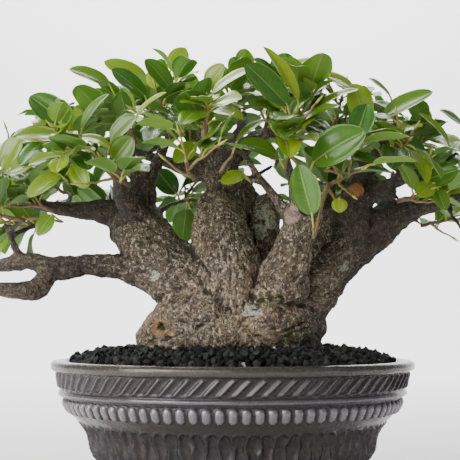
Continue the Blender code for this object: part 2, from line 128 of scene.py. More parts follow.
class WoodSettings(bpy.types.PropertyGroup):
    voxel: length("Detail", "Size of the surface's cells", 0.8 * MM, 0.5 * MM)
    lump_depth: length("Lumps", "Height of the broad lumps", 1.5 * MM)
    grain_depth: length("Grain", "Height of the streaks along the grain", 1.15 * MM)
    crack_depth: length("Cracks", "Depth of the short cracks", 0.5 * MM)
    # Dark bark, also laid in the hollows and creases as a painted shade.
    dark: colour("Dark bark", "Colour of the hollows", (0.024, 0.018, 0.015))
    middle: colour("Bark", "Main colour of the bark", (0.178, 0.132, 0.090))
    light: colour("Light bark", "Colour of the ridges", (0.47, 0.38, 0.245))
    speckle: colour("Lenticels", "Colour of the corky pores", (0.86, 0.73, 0.55))
    lichen: colour("Lichen", "Colour of the lichen patches", (0.60, 0.64, 0.52))
    moss: colour("Moss", "Colour of the moss in the crooks", (0.12, 0.13, 0.03))
    healed: colour("Cut ends", "Colour of the cut branch ends", (0.58, 0.40, 0.34))
    ring: colour("Knot rim", "Colour of the rim round a knot hole", (0.50, 0.21, 0.06))
    # Dark bark of the outer limbs, also used as a painted shade under the crown and on the undersides,
    # the right side and the back.
    grown: colour("Old limbs", "Colour of the dark limbs and undersides", (0.034, 0.026, 0.020))


class LeafSettings(bpy.types.PropertyGroup):
    leaf_length: length("Leaf length", "Length of a full leaf", 23.5 * MM)
    leaf_width: length("Leaf width", "Width of a full leaf", 16.8 * MM)
    thickness: length("Thickness", "Thickness of a leaf", 0.4 * MM)
    half_x: length("Crown half length", "Half length of the crown where shoots start", 142 * MM)
    half_y: length("Crown half depth", "Half depth of the crown where shoots start", 80 * MM)
    top: length("Crown top", "Height of the crown's middle", 247 * MM)
    old: colour("Old leaves", "Colour of the full-grown leaves", (0.036, 0.126, 0.010))
    young: colour("Young leaves", "Colour of the new leaves", (0.36, 0.47, 0.014))
    vein: colour("Veins", "Colour of the midribs", (0.42, 0.60, 0.16))
    under: colour("Undersides", "Colour of the undersides", (0.16, 0.31, 0.055))
    twig: colour("Twigs", "Colour of the thin twigs", (0.15, 0.085, 0.045))
    stalk: colour("Stalks", "Colour of the leaf stalks and buds", (0.48, 0.50, 0.09))


class StageSettings(bpy.types.PropertyGroup):
    paper: colour("Backdrop", "Colour of the floor and backdrop", (0.90, 0.90, 0.905))
    key: power("Key light", "Power of the main light", 13.5)
    front: power("Front light", "Power of the light in front", 4.0)
    back: power("Back light", "Power of the light behind", 11.0)
    fill: power("Fill light", "Power of the fill light", 0.15)
    wall: power("Wall light", "Power of the light on the backdrop", 118.0)
    sky: power("Sky", "Strength of the light all round", 0.21)


# ---------------------------------------------------------------- mesh helpers

def add_object(name, data):
    item = bpy.data.objects.new(name, data)
    bpy.context.scene.collection.objects.link(item)
    return item


def mesh_of(item):
    """The evaluated mesh of an object, as a mesh of its own."""
    bpy.context.view_layer.update()
    graph = bpy.context.evaluated_depsgraph_get()
    return bpy.data.meshes.new_from_object(item.evaluated_get(graph), depsgraph=graph)


def mesh_from(name, points, faces):
    mesh = bpy.data.meshes.new(name)
    mesh.from_pydata(np.asarray(points).tolist(), [], [tuple(face) for face in faces])
    mesh.update()
    return mesh


def set_values(mesh, name, values):
    """A number kept on each point of a mesh, for its material to read."""
    layer = mesh.attributes.new(name, "FLOAT", "POINT")
    layer.data.foreach_set("value", np.asarray(values, np.float32))


def grid_faces(rows, columns, closed, offset=0):
    """Faces of a grid of points kept row by row; closed joins the last column to the first."""
    faces = []
    for row in range(rows - 1):
        for column in range(columns if closed else columns - 1):
            after = (column + 1) % columns
            low = offset + row * columns
            high = low + columns
            faces.append((low + column, low + after, high + after, high + column))
    return faces


def smoothstep(low, high, value):
    x = np.clip((value - low) / (high - low), 0.0, 1.0)
    return x * x * (3.0 - 2.0 * x)


def smooth_path(points, spans):
    """Points on a Catmull-Rom curve through the given ones."""
    ends = [points[0] * 2 - points[1]] + points + [points[-1] * 2 - points[-2]]
    path = []
    for i in range(1, len(ends) - 2):
        a, b, c, d = ends[i - 1:i + 3]
        for step in range(spans):
            t = step / spans
            path.append(0.5 * (2 * b + (c - a) * t + (2 * a - 5 * b + 4 * c - d) * t * t
                               + (3 * b - a - 3 * c + d) * t ** 3))
    path.append(points[-1])
    return path


# ---------------------------------------------------------------- material helpers

def add(tree, kind, inputs=None, **settings):
    """A shader node whose inputs are linked where a socket is given and set where a value is."""
    made = tree.nodes.new(kind)
    for key, value in settings.items():
        setattr(made, key, value)
    for key, value in (inputs or {}).items():
        if isinstance(value, bpy.types.NodeSocket):
            tree.links.new(value, made.inputs[key])
        else:
            made.inputs[key].default_value = value
    return made


def new_material(name, roughness, metallic=0.0, **plain):
    """A material, its node tree and its Principled shader with the plain values set."""
    material = bpy.data.materials.new(name)
    material.use_nodes = True
    shader = material.node_tree.nodes["Principled BSDF"]
    shader.inputs["Roughness"].default_value = roughness
    shader.inputs["Metallic"].default_value = metallic
    for key, value in plain.items():
        shader.inputs[key.replace("_", " ")].default_value = value
    return material, material.node_tree, shader


def mix(tree, factor, first, second):
    """A colour mixed from two; either may be a socket or a plain colour."""
    def full(tint):
        return tint if isinstance(tint, bpy.types.NodeSocket) else (*tint, 1.0)

    made = add(tree, "ShaderNodeMix", {"Factor": factor}, data_type="RGBA")
    for slot, tint in ((6, full(first)), (7, full(second))):
        if isinstance(tint, bpy.types.NodeSocket):
            tree.links.new(tint, made.inputs[slot])
        else:
            made.inputs[slot].default_value = tint
    return made.outputs[2]


def ramp(tree, value, low, high, start=0.0, end=1.0):
    """A value taken smoothly from start to end as it goes from low to high."""
    made = add(tree, "ShaderNodeMapRange", {"Value": value, "From Min": low, "From Max": high,
                                            "To Min": start, "To Max": end},
               interpolation_type="SMOOTHSTEP")
    return made.outputs["Result"]


def cover(tree, tint, mask, low, high, part, shade):
    """A colour laid over a tint, up to a part of it, as a mask goes from low to high."""
    return mix(tree, ramp(tree, mask, low, high, 0.0, part), tint, shade)


def compute(tree, operation, first, second=0.0):
    made = add(tree, "ShaderNodeMath", {0: first, 1: second}, operation=operation)
    return made.outputs[0]


def times(tree, first, second):
    return compute(tree, "MULTIPLY", first, second)


def larger(tree, first, second):
    return compute(tree, "MAXIMUM", first, second)


def total(tree, *values):
    result = values[0]
    for value in values[1:]:
        result = compute(tree, "ADD", result, value)
    return result


def value_of(tree, name):
    return add(tree, "ShaderNodeAttribute", attribute_name=name).outputs["Fac"]


def new_group(name, inputs, outputs):
    tree = bpy.data.node_groups.new(name, "ShaderNodeTree")
    for label, kind, default in inputs:
        socket = tree.interface.new_socket(label, in_out="INPUT", socket_type="NodeSocket" + kind)
        if default is not None:
            socket.default_value = default
    for label, kind in outputs:
        tree.interface.new_socket(label, in_out="OUTPUT", socket_type="NodeSocket" + kind)
    return tree, tree.nodes.new("NodeGroupInput"), tree.nodes.new("NodeGroupOutput")


def mottle_group():
    """Soft patches of two colours with a fine grain over them."""
    if "Mottle" in bpy.data.node_groups:
        return bpy.data.node_groups["Mottle"]
    tree, given, result = new_group(
        "Mottle",
        [("Vector", "Vector", None), ("Scale", "Float", 60.0), ("Sharpness", "Float", 0.2),
         ("First", "Color", (0, 0, 0, 1)), ("Second", "Color", (1, 1, 1, 1))],
        [("Color", "Color"), ("Mask", "Float"), ("Fine", "Float")])
    broad = add(tree, "ShaderNodeTexNoise", {"Vector": given.outputs["Vector"],
                                             "Scale": given.outputs["Scale"], "Detail": 6.0,
                                             "Roughness": 0.62})
    finer = times(tree, given.outputs["Scale"], 9.0)
    fine = add(tree, "ShaderNodeTexNoise", {"Vector": given.outputs["Vector"], "Scale": finer,
                                            "Detail": 3.0})
    low = compute(tree, "SUBTRACT", 0.5, given.outputs["Sharpness"])
    high = compute(tree, "ADD", 0.5, given.outputs["Sharpness"])
    mask = ramp(tree, broad.outputs["Fac"], low, high)
    tinted = mix(tree, mask, given.outputs["First"], given.outputs["Second"])
    tree.links.new(tinted, result.inputs["Color"])
    tree.links.new(mask, result.inputs["Mask"])
    tree.links.new(fine.outputs["Fac"], result.inputs["Fine"])
    return tree


def speckle_group():
    """Small scattered dots of uneven size."""
    if "Speckle" in bpy.data.node_groups:
        return bpy.data.node_groups["Speckle"]
    tree, given, result = new_group(
        "Speckle",
        [("Vector", "Vector", None), ("Scale", "Float", 300.0), ("Size", "Float", 0.25),
         ("Share", "Float", 0.4)],
        [("Mask", "Float")])
    cells = add(tree, "ShaderNodeTexVoronoi", {"Vector": given.outputs["Vector"],
                                               "Scale": given.outputs["Scale"]})
    tone = add(tree, "ShaderNodeSeparateColor", {"Color": cells.outputs["Color"]}).outputs[0]
    edge = times(tree, given.outputs["Size"], 0.45)
    dot = ramp(tree, cells.outputs["Distance"], given.outputs["Size"], edge)
    chosen = compute(tree, "LESS_THAN", tone, given.outputs["Share"])
    tree.links.new(times(tree, dot, chosen), result.inputs["Mask"])
    return tree


def wrinkle_group():
    """Thin lines that wander over a surface."""
    if "Wrinkle" in bpy.data.node_groups:
        return bpy.data.node_groups["Wrinkle"]
    tree, given, result = new_group(
        "Wrinkle",
        [("Vector", "Vector", None), ("Scale", "Float", 400.0), ("Width", "Float", 0.04)],
        [("Mask", "Float"), ("Broken", "Float")])
    lines = add(tree, "ShaderNodeTexNoise", {"Vector": given.outputs["Vector"],
                                             "Scale": given.outputs["Scale"], "Detail": 1.0,
                                             "Distortion": 0.4})
    gap = compute(tree, "ABSOLUTE", compute(tree, "SUBTRACT", lines.outputs["Fac"], 0.5))
    mask = ramp(tree, gap, given.outputs["Width"], 0.0)
    coarser = times(tree, given.outputs["Scale"], 0.7)
    breaks = add(tree, "ShaderNodeTexNoise", {"Vector": given.outputs["Vector"], "Scale": coarser,
                                              "Detail": 1.0})
    kept = ramp(tree, breaks.outputs["Fac"], 0.46, 0.56)
    tree.links.new(mask, result.inputs["Mask"])
    tree.links.new(times(tree, mask, kept), result.inputs["Broken"])
    return tree


def effect(tree, group, inputs):
    return add(tree, "ShaderNodeGroup", inputs, node_tree=group)


def mottle(tree, spot, scale, sharpness, first=(0, 0, 0), second=(1, 1, 1)):
    """Patches of two colours over a piece; plain black and white where only the mask is wanted."""
    return effect(tree, mottle_group(), {"Vector": spot, "Scale": scale, "Sharpness": sharpness,
                                         "First": (*first, 1.0), "Second": (*second, 1.0)})


def shade_of(tint, factor):
    """A colour made lighter or darker."""
    return [channel * factor for channel in tint]


def place_of(tree, scale=(1.0, 1.0, 1.0)):
    spot = add(tree, "ShaderNodeTexCoord").outputs["Object"]
    return add(tree, "ShaderNodeMapping", {"Vector": spot, "Scale": scale}).outputs["Vector"]


def height_of(tree, spot):
    return add(tree, "ShaderNodeSeparateXYZ", {"Vector": spot}).outputs["Z"]


def bump(tree, shader, height, distance, strength=1.0):
    made = add(tree, "ShaderNodeBump", {"Height": height, "Distance": distance,
                                        "Strength": strength})
    tree.links.new(made.outputs["Normal"], shader.inputs["Normal"])


# ---------------------------------------------------------------- pot

# Half outline of the pot in millimetres: radius, height and how many rows lead to that point.
POT_OUTLINE = [
    (8.0, 22.0, 0), (65.0, 23.0, 2), (72.5, 29.0, 1), (80.9, 46.0, 1), (91.4, 58.0, 1),
    (96.0, 74.0, 1), (97.2, 78.4, 1), (98.4, 79.7, 1), (100.0, 80.0, 1), (103.2, 79.8, 1),
    (104.6, 79.0, 1), (105.0, 77.6, 1), (104.8, 75.7, 1), (103.9, 74.7, 1), (102.2, 74.3, 1),
    (101.6, 74.0, 1), (99.7, 64.6, 18), (99.2, 64.0, 1), (99.1, 63.5, 1), (100.3, 62.9, 1),
    (100.4, 61.3, 1), (99.8, 60.7, 1), (98.0, 60.3, 1), (98.4, 59.9, 1), (97.4, 59.4, 1),
    (96.7, 59.0, 1), (96.5, 56.0, 6), (95.0, 53.0, 6), (93.2, 50.6, 5), (91.6, 48.8, 2),
    (88.2, 45.5, 6), (85.8, 42.6, 6), (84.4, 40.2, 5), (83.1, 37.3, 6), (82.3, 33.5, 6),
    (81.8, 30.5, 5), (80.2, 26.8, 6), (77.4, 23.2, 6), (73.4, 19.8, 6), (68.8, 16.6, 5),
    (64.9, 13.9, 3), (62.6, 11.8, 2), (62.4, 9.6, 2), (63.8, 7.2, 2), (65.6, 5.2, 2),
    (66.0, 3.6, 1), (66.0, 0.8, 1), (65.3, 0.0, 1), (57.8, 0.0, 1), (57.0, 0.8, 1),
    (57.0, 9.6, 2), (55.6, 11.0, 1), (8.8, 14.0, 2), (8.0, 14.8, 1),
]
OUTLINE_RADIUS = 105.0
# Heights in millimetres from the bottom to the top of each band.
STROKE_BAND = (64.5, 74.1)
RIDGE_BAND = (60.4, 63.7)
BEAD_BAND = (50.8, 59.3)
FLUTE_BAND = (15.5, 46.4)
PLAIN_FOOT = (3.0, 9.0)
# The bowl's usual radius in millimetres at the strokes and at the flutes.
STROKE_RADIUS, FLUTE_RADIUS = 101.0, 84.0
STROKE_SLANT = 0.98
POT_COLUMNS = 900


def pot_rows():
    rows = [POT_OUTLINE[0][:2]]
    for (r0, z0, _), (r1, z1, count) in zip(POT_OUTLINE, POT_OUTLINE[1:]):
        for step in range(1, count + 1):
            part = step / count
            rows.append((r0 + (r1 - r0) * part, z0 + (z1 - z0) * part))
    return np.array(rows)


def ends_of(height, band, blend):
    """1 inside a band of heights, easing to 0 at both its ends."""
    low, high = band
    return smoothstep(low, low + blend, height) * (1.0 - smoothstep(high - blend, high, height))


def carving(turn, height, settings):
    """How far the pot's carved bands stand out, with turn from 0 to 1 round the pot."""
    across = 2 * math.pi * STROKE_RADIUS / settings.strokes
    lean = (height - STROKE_BAND[0]) / across * STROKE_SLANT
    wave = np.mod(turn * settings.strokes - lean, 1.0) * 2.0 - 1.0
    ridge = np.exp(-(wave / 0.34) ** 2) - 0.3
    strokes = settings.stroke_depth * ridge * ends_of(height, STROKE_BAND, 1.4)
    low, high = BEAD_BAND
    wave = np.mod(turn * settings.beads, 1.0) * 2.0 - 1.0
    level = (height - (low + high) / 2) / ((high - low) / 2)
    oval = np.clip(1.0 - (np.abs(wave) / 0.80) ** 2.0 - np.abs(level) ** 3.0, 0.0, 1.0) ** 0.55
    beads = settings.bead_depth * oval
    low, high = FLUTE_BAND
    drift = 0.10 * np.sin(height * 0.42 + 2.5 * np.sin(turn * 2 * math.pi * 31))
    wave = np.mod(turn * settings.flutes + drift, 1.0) * 2.0 - 1.0
    half = math.pi * FLUTE_RADIUS / settings.flutes
    arch = np.maximum(height - (high - half - 0.6), 0.0) / half
    reach = np.sqrt(wave ** 2 + arch ** 2)
    dish = 1.0 - smoothstep(0.30, 0.95, reach)
    rib = np.exp(-((reach - 0.97) / 0.10) ** 2) * (height < high + 0.6)
    fade = smoothstep(low, low + 4.0, height)
    flutes = settings.flute_depth * fade * (0.55 * rib - 0.8 * dish * (height < high))
    return strokes, beads, flutes


def build_pot(settings):
    rows = pot_rows()
    turn = np.arange(POT_COLUMNS) / POT_COLUMNS
    along = np.roll(rows, -1, 0) - np.roll(rows, 1, 0)
    normal = np.stack([-along[:, 1], along[:, 0]], 1)
    normal /= np.linalg.norm(normal, axis=1)[:, None]
    outer = (np.arange(len(rows)) > np.argmax(rows[:, 0])) & (rows[:, 0] > 60)
    turn_grid, height_grid = np.meshgrid(turn, rows[:, 1])
    strokes, beads, flutes = carving(turn_grid, height_grid, settings)
    relief = (strokes + beads + flutes) * outer[:, None]
    # How rubbed the surface is, with a painted highlight laid on top: most on the strokes, beads and
    # ridge, less on the flutes.
    rubbed_and_sheen = (strokes + beads + 0.3 * flutes) * outer[:, None]
    # The plain ridge band is lightened as a painted highlight.
    rubbed_and_sheen += 0.5 * settings.bead_depth * ends_of(height_grid, RIDGE_BAND, 0.6) * outer[:, None]
    # A hand-carved unevenness keeps the bands from looking stamped.
    hand = 0.12 * MM * np.sin(turn_grid * 2 * math.pi * 23 + height_grid * 0.4)
    hand += 0.10 * MM * np.sin(turn_grid * 2 * math.pi * 9 + 1.7)
    proud = (relief + hand * outer[:, None]) * smoothstep(*PLAIN_FOOT, height_grid)
    sign = -1.0 if normal[np.argmax(rows[:, 0]), 0] < 0 else 1.0
    scale = settings.rim_radius / OUTLINE_RADIUS
    radius = rows[:, 0:1] * scale + sign * normal[:, 0:1] * proud
    height = rows[:, 1:2] * scale + sign * normal[:, 1:2] * proud
    angle = turn_grid * 2 * math.pi
    points = np.stack([radius * np.cos(angle), radius * np.sin(angle), height], 2).reshape(-1, 3)
    faces = grid_faces(len(rows), POT_COLUMNS, True)
    last = (len(rows) - 1) * POT_COLUMNS
    for column in range(POT_COLUMNS):
        after = (column + 1) % POT_COLUMNS
        faces.append((last + column, last + after, after, column))
    mesh = mesh_from("pot_carved", points, faces)
    set_values(mesh, "relief", (rubbed_and_sheen / settings.bead_depth).reshape(-1))
    return mesh


def pot_material(settings):
    material, tree, shader = new_material("burnished_clay", 0.34, 0.42)
    spot = place_of(tree)
    relief, height = value_of(tree, "relief"), height_of(tree, spot)
    patches = mottle(tree, spot, 34.0, 0.2, settings.body, shade_of(settings.body, 0.74))
    rust = mottle(tree, spot, 17.0, 0.10, settings.hollow, (0.062, 0.042, 0.036))
    lip = ramp(tree, height, 74.0 * MM, 75.0 * MM)
    tint = mix(tree, times(tree, lip, 0.8), patches.outputs["Color"], settings.rim)
    sunk = ramp(tree, relief, -0.02, -0.38)
    tint = mix(tree, times(tree, sunk, 0.75), tint, rust.outputs["Color"])
    # The crests are lightened: partly rubbed clay, partly a painted highlight.
    tint = cover(tree, tint, relief, 0.22, 0.8, 0.62, settings.crest_and_sheen)
    cove = times(tree, ramp(tree, height, 45.5 * MM, 47.0 * MM),
                 ramp(tree, height, 51.5 * MM, 50.0 * MM))
    stain = larger(tree, times(tree, rust.outputs["Mask"], 0.16), times(tree, cove, 0.45))
    tint = mix(tree, stain, tint, (0.070, 0.050, 0.038))
    tree.links.new(tint, shader.inputs["Base Color"])
    gloss = ramp(tree, patches.outputs["Fine"], 0.3, 0.7, 0.17, 0.33)
    tree.links.new(gloss, shader.inputs["Roughness"])
    bump(tree, shader, patches.outputs["Fine"], 0.2 * MM, 0.8)
    return material


class BONSAI_OT_pot(bpy.types.Operator):
    """Turn the pot with its carved strokes, beads and flutes"""
    bl_idname = "bonsai.pot"
    bl_label = "Build Pot"

    def execute(self, context):
        settings = context.scene.bonsai_pot
        mesh = build_pot(settings)
        mesh.shade_smooth()
        mesh.materials.append(pot_material(settings))
        pot = add_object("pot_carved", mesh)
        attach(pot, "root")
        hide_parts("pot")
        return {"FINISHED"}


# ---------------------------------------------------------------- drainage

# The hidden pieces: node, finish, two shades, roughness and metallic value.
DRAINAGE = (
    ("drainage_screen", "moulded_mesh", (0.018, 0.018, 0.02), (0.035, 0.035, 0.037), 0.55, 0.0),
    ("screen_wire", "soft_wire", (0.50, 0.50, 0.51), (0.66, 0.66, 0.67), 0.34, 1.0),
)


class BONSAI_OT_drainage(bpy.types.Operator):
    """Finish the drainage screen and its wire"""
    bl_idname = "bonsai.drainage"
    bl_label = "Finish Drainage"

    def execute(self, context):
        for node, name, first, second, roughness, metallic in DRAINAGE:
            material, tree, shader = new_material(name, roughness, metallic)
            made = mottle(tree, place_of(tree), 400.0, 0.2, first, second)
            tree.links.new(made.outputs["Color"], shader.inputs["Base Color"])
            bump(tree, shader, made.outputs["Fine"], 0.05 * MM, 0.5)
            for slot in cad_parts[node].material_slots:
                slot.material = material
        return {"FINISHED"}


# ---------------------------------------------------------------- soil

SOIL_RADIUS = 94.5 * MM
# Heights of the grit's surface: at the middle and at the pot's wall.
SOIL_CREST, SOIL_EDGE = 86.3 * MM, 78.6 * MM
PALE_SHARE = 0.010


def tree_of(mesh):
    """A mesh as a tree that finds its nearest places."""
    return BVHTree.FromPolygons([v.co for v in mesh.vertices],
                                [tuple(p.vertices) for p in mesh.polygons])


def inside(trunk, place, margin):
    """Whether a place is in the wood or nearer to its surface than the margin."""
    spot, normal, _, distance = trunk.find_nearest(place)
    return distance < margin or (place - spot).dot(normal) < 0


def grain_template():
    work = bmesh.new()
    bmesh.ops.create_icosphere(work, subdivisions=1, radius=0.5)
    points = np.array([v.co for v in work.verts])
    faces = [tuple(v.index for v in f.verts) for f in work.faces]
    work.free()
    return points, faces


def build_grit(settings, trunk):
    chance = np.random.default_rng(11)
    blank, blank_faces = grain_template()
    points, faces, pale = [], [], []
    for layer, count in enumerate((settings.bottom_grains, settings.top_grains)):
        for i in range(count):
            radius = SOIL_RADIUS * math.sqrt((i + 0.5) / count) + chance.uniform(-1, 1) * MM
            angle = i * GOLDEN_ANGLE + layer + chance.uniform(-0.01, 0.01)
            size = settings.grain * chance.uniform(0.72, 1.28)
            lift = chance.uniform(-1.2, 0.4) + layer * chance.uniform(0.6, 2.2)
            level = soil_height(radius) + lift * MM
            place = Vector((radius * math.cos(angle), radius * math.sin(angle), level))
            room = SOIL_RADIUS - 0.45 * size
            if radius > room:
                place.xy *= room / radius
            if inside(trunk, place, 0.30 * size):
                continue
            spin = Matrix(np.linalg.qr(chance.normal(size=(3, 3)))[0])
            shape = blank * (1 + chance.uniform(-0.28, 0.28, (len(blank), 1)))
            shape = shape * (size * chance.uniform(0.75, 1.2, 3)) @ np.array(spin)
            start = len(points) * len(blank)
            points.append(shape + np.array(place))
            faces += [tuple(start + v for v in face) for face in blank_faces]
            speck = chance.random() < PALE_SHARE
            pale.append(np.full(len(blank), 1.0 if speck else 0.12 * chance.random()))
    return np.concatenate(points), faces, np.concatenate(pale)


def soil_height(radius):
    """Height of the grit's surface at a distance from the pot's axis."""
    shoulder = 95.0 * MM
    return SOIL_EDGE + (SOIL_CREST - SOIL_EDGE) * (1.0 - min(radius / shoulder, 1.0) ** 5)


def soil_material(settings):
    material, tree, shader = new_material("dark_grit", 0.75, Specular_IOR_Level=0.16)
    made = mottle(tree, place_of(tree), 260.0, 0.15, settings.dark, (0.007, 0.007, 0.0088))
    tint = mix(tree, value_of(tree, "pale"), made.outputs["Color"], settings.pale)
    tree.links.new(tint, shader.inputs["Base Color"])
    gloss = ramp(tree, made.outputs["Mask"], 0.0, 1.0, 0.6, 0.9)
    tree.links.new(gloss, shader.inputs["Roughness"])
    bump(tree, shader, made.outputs["Fine"], 0.35 * MM)
    return material


class BONSAI_OT_soil(bpy.types.Operator):
    """Fill the pot with dark angular grit"""
    bl_idname = "bonsai.soil"
    bl_label = "Fill Soil"

    def execute(self, context):
        settings = context.scene.bonsai_soil
        points, faces, pale = build_grit(settings, tree_of(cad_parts["trunk"].data))
        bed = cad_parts["soil"].data
        low = np.array([v.co for v in bed.vertices])
        # The bed's top is set a little lower, so that the grains lie on it.
        low[low[:, 2] > 70 * MM, 2] -= 1.6 * MM
        faces = [tuple(len(low) + v for v in face) for face in faces]
        faces = [tuple(p.vertices) for p in bed.polygons] + faces
        mesh = mesh_from("grit_bed", np.concatenate([low, points]), faces)
        set_values(mesh, "pale", np.concatenate([np.zeros(len(low)), pale]))
        mesh.materials.append(soil_material(settings))
        soil = add_object("grit_bed", mesh)
        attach(soil, "root")
        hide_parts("soil")
        return {"FINISHED"}


# ---------------------------------------------------------------- wood

# The base of the trunk, from which the grain runs up: height of its middle and its radius.
BASE_HEIGHT, BASE_RADIUS = 100 * MM, 42 * MM
THICKEST = 60 * MM


def vectors(items, name):
    """One vector of each of a mesh's points, as rows."""
    values = np.zeros(len(items) * 3)
    items.foreach_get(name, values)
    return values.reshape(-1, 3)


class Skin:
    """The wood's surface: its mesh, its points and the edges between them."""

    def __init__(self, mesh):
        self.mesh = mesh
        self.points = vectors(mesh.vertices, "co")
        self.count = len(self.points)
        ends = np.zeros(len(mesh.edges) * 2, int)
        mesh.edges.foreach_get("vertices", ends)
        self.first, self.second = ends.reshape(-1, 2).T
        self.degree = np.bincount(ends, minlength=self.count).astype(float)

    def gather(self, weight, values):
        """The sum over a point's edges of each edge's weight times the value at its far end."""
        return (np.bincount(self.first, weight * values[self.second], self.count)
                + np.bincount(self.second, weight * values[self.first], self.count))

    def averages(self, values, rounds=1):
        """The mean of each point's neighbours, taken for a number of rounds."""
        if values.ndim > 1:
            return np.stack([self.averages(column, rounds) for column in values.T], 1)
        for _ in range(rounds):
            values = self.gather(1.0, values) / self.degree
        return values

    def relax(self, rounds):
        """Smooths the surface without thinning its branches."""
        for _ in range(rounds):
            for factor in (0.55, -0.57):
                self.points = self.points + factor * (self.averages(self.points) - self.points)

    def apply(self):
        """Puts the points back in the mesh."""
        self.mesh.vertices.foreach_set("co", self.points.reshape(-1))
        self.mesh.update()

    def distance_from(self, start):
        """Distance over the surface from a group of points, along the mesh's edges."""
        gap = np.linalg.norm(self.points[self.first] - self.points[self.second], axis=1)
        reach = np.where(start, 0.0, 1e3)
        for _ in range(420):
            before = reach.copy()
            np.minimum.at(reach, self.first, before[self.second] + gap)
            np.minimum.at(reach, self.second, before[self.first] + gap)
            if np.array_equal(before, reach):
                break
        return reach

    def gradient(self, values):
        """The direction in which a value grows over the surface."""
        step = self.points[self.second] - self.points[self.first]
        weight = (values[self.second] - values[self.first]) / (step ** 2).sum(1)
        parts = [np.bincount(self.first, weight * part, self.count)
                 + np.bincount(self.second, weight * part, self.count) for part in step.T]
        rise = np.stack(parts, 1)
        for _ in range(3):
            rise = 0.4 * rise + 0.6 * self.averages(rise)
        return rise / (np.linalg.norm(rise, axis=1)[:, None] + 1e-9)

    def streaks(self, grain, chance, rounds, sharpness):
        """Random values drawn out along the grain, from about -1 to 1."""
        step = self.points[self.second] - self.points[self.first]
        step /= np.linalg.norm(step, axis=1)[:, None] + 1e-9
        along = (0.5 * np.abs((step * grain[self.first]).sum(1))
                 + 0.5 * np.abs((step * grain[self.second]).sum(1)))
        weight = 0.02 + along ** sharpness
        whole = self.gather(weight, np.ones(self.count))
        values = chance.normal(size=self.count)
        for _ in range(rounds):
            values = 0.35 * values + 0.65 * self.gather(weight, values) / whole
        return values / (values.std() * 2.0)

    def sunk(self, normals, rounds):
        """How far each point lies under the smoothed surface, in millimetres."""
        smooth = self.averages(self.points, rounds)
        return ((smooth - self.points) * normals).sum(1) / MM


def noise_at(points, scale, offset=0.0):
    shift = Vector((offset, offset * 0.37, -offset))
    return np.array([noise.noise(Vector(p) * scale + shift, noise_basis="PERLIN_ORIGINAL")
                     for p in points])


def cell_edges(points, scale):
    """How near each place is to a border between cells, 0 on the border."""
    found = [noise.voronoi(Vector(p) * scale)[0] for p in points]
    return np.array([d[1] - d[0] for d in found])


def gap_from(points, centre, radius):
    """Distance from a centre in parts of a radius; both are in millimetres."""
    return np.linalg.norm(points - np.array(centre) * MM, axis=1) / (radius * MM)


def patches_on(points, spots):
    """1 at each spot's centre, falling to 0 at its radius."""
    mask = np.zeros(len(points))
    for centre, radius in spots:
        mask = np.maximum(mask, 1.0 - smoothstep(0.35, 1.0, gap_from(points, centre, radius)))
    return mask


# Places on the wood in millimetres: centre and radius.
LICHEN = [((-30, -26, 141), 8), ((-25, -24, 148), 6), ((-34, -22, 152), 5), ((9, -30, 144), 5),
          ((7, -28, 150), 4), ((9, -38, 110), 7), ((14, -38, 107), 5), ((64, -18, 132), 5),
          ((20, 11, 166), 9), ((17, 10, 156), 7), ((24, 11, 160), 7), ((-44, -20, 128), 4)]
MOSS = [((17, -36, 113), 7), ((31, -34, 97), 8), ((-40, -26, 98), 5), ((-46, -24, 90), 6),
        ((-4, -36, 93), 5), ((60, -18, 112), 6), ((24, -34, 116), 6), ((36, -30, 95), 7)]
CUTS = [((-18, 2, 226), 9), ((33, -41, 160.5), 8)]
# Knot holes: centre, radius, depth and how orange their rims are.
HOLES = [((-40, -28, 99), 5.0, 3.0, 0.6), ((-54, -22, 146), 5, 1.0, 0.0),
         ((71, -24, 118), 4.5, 1.4, 0.1), ((71, -28, 177), 5.0, -0.6, 1.0)]
KNOTS = [((20, -36, 106), 9, 1.6), ((2, -40, 96), 11, 1.4), ((-22, -34, 96), 9, 1.5),
         ((46, -26, 112), 8, 1.6), ((-30, -28, 128), 8, 1.2), ((38, -36, 130), 7, 1.2)]
# Deep creases in the wood in millimetres: the line that each follows, its width and its depth.
CREASES = [
    ([(-30, -24, 153), (-24, -25, 142), (-17, -30, 132), (-14, -33, 127), (-17, -34, 122)],
     1.7, 3.2),
    ([(-17, -34, 122), (-22, -34, 120), (-27, -32, 113), (-36, -26, 114)], 1.4, 2.4),
    ([(13, -30, 134), (11, -33, 129), (14, -35, 124), (22, -36, 117)], 1.5, 2.6),
    ([(24, -36, 117), (30, -35, 113), (37, -32, 111), (42, -28, 112)], 1.5, 2.6),
    ([(26, -38, 95), (35, -37, 99), (42, -33, 102), (49, -27, 103)], 1.3, 2.2),
    ([(28, -38, 92), (37, -36, 97), (46, -30, 98), (51, -26, 94)], 1.2, 1.8),
    ([(50, -20, 128), (46, -26, 118), (42, -29, 108)], 1.6, 2.2),
    ([(-22, -34, 95), (-19, -37, 99), (-14, -38, 101)], 1.2, 1.5),
    ([(-40, -22, 112), (-30, -30, 107), (-20, -34, 106)], 1.2, 1.5),
    ([(-52, -20, 152), (-47, -24, 148), (-46, -24, 142), (-52, -20, 138)], 1.3, 1.6),
]
# Wood that has grown out over the joints, in millimetres: places along each swelling and its
# half thickness there.
SWELLINGS = [
    [((-10, -3, 176), 8.0), ((-9, -8, 162), 14.0), ((-7, -11, 149), 18.0), ((-2, -14, 130), 19.5),
     ((2, -15, 110), 21.0)],
    [((15, 21, 122), 11.0), ((16, 22, 146), 12.5), ((18, 22, 164), 11.0), ((20, 22, 176), 6.5),
     ((20, 22, 180), 2.5)],
    [((9, 20, 158), 5.0), ((8, 20, 172), 6.0), ((8, 20, 182), 5.0), ((8, 20, 188), 2.5)],
    [((36, -6, 128), 11.0), ((47, -4, 146), 10.0), ((58, -4, 160), 8.0), ((64, -4, 168), 3.0)],
]


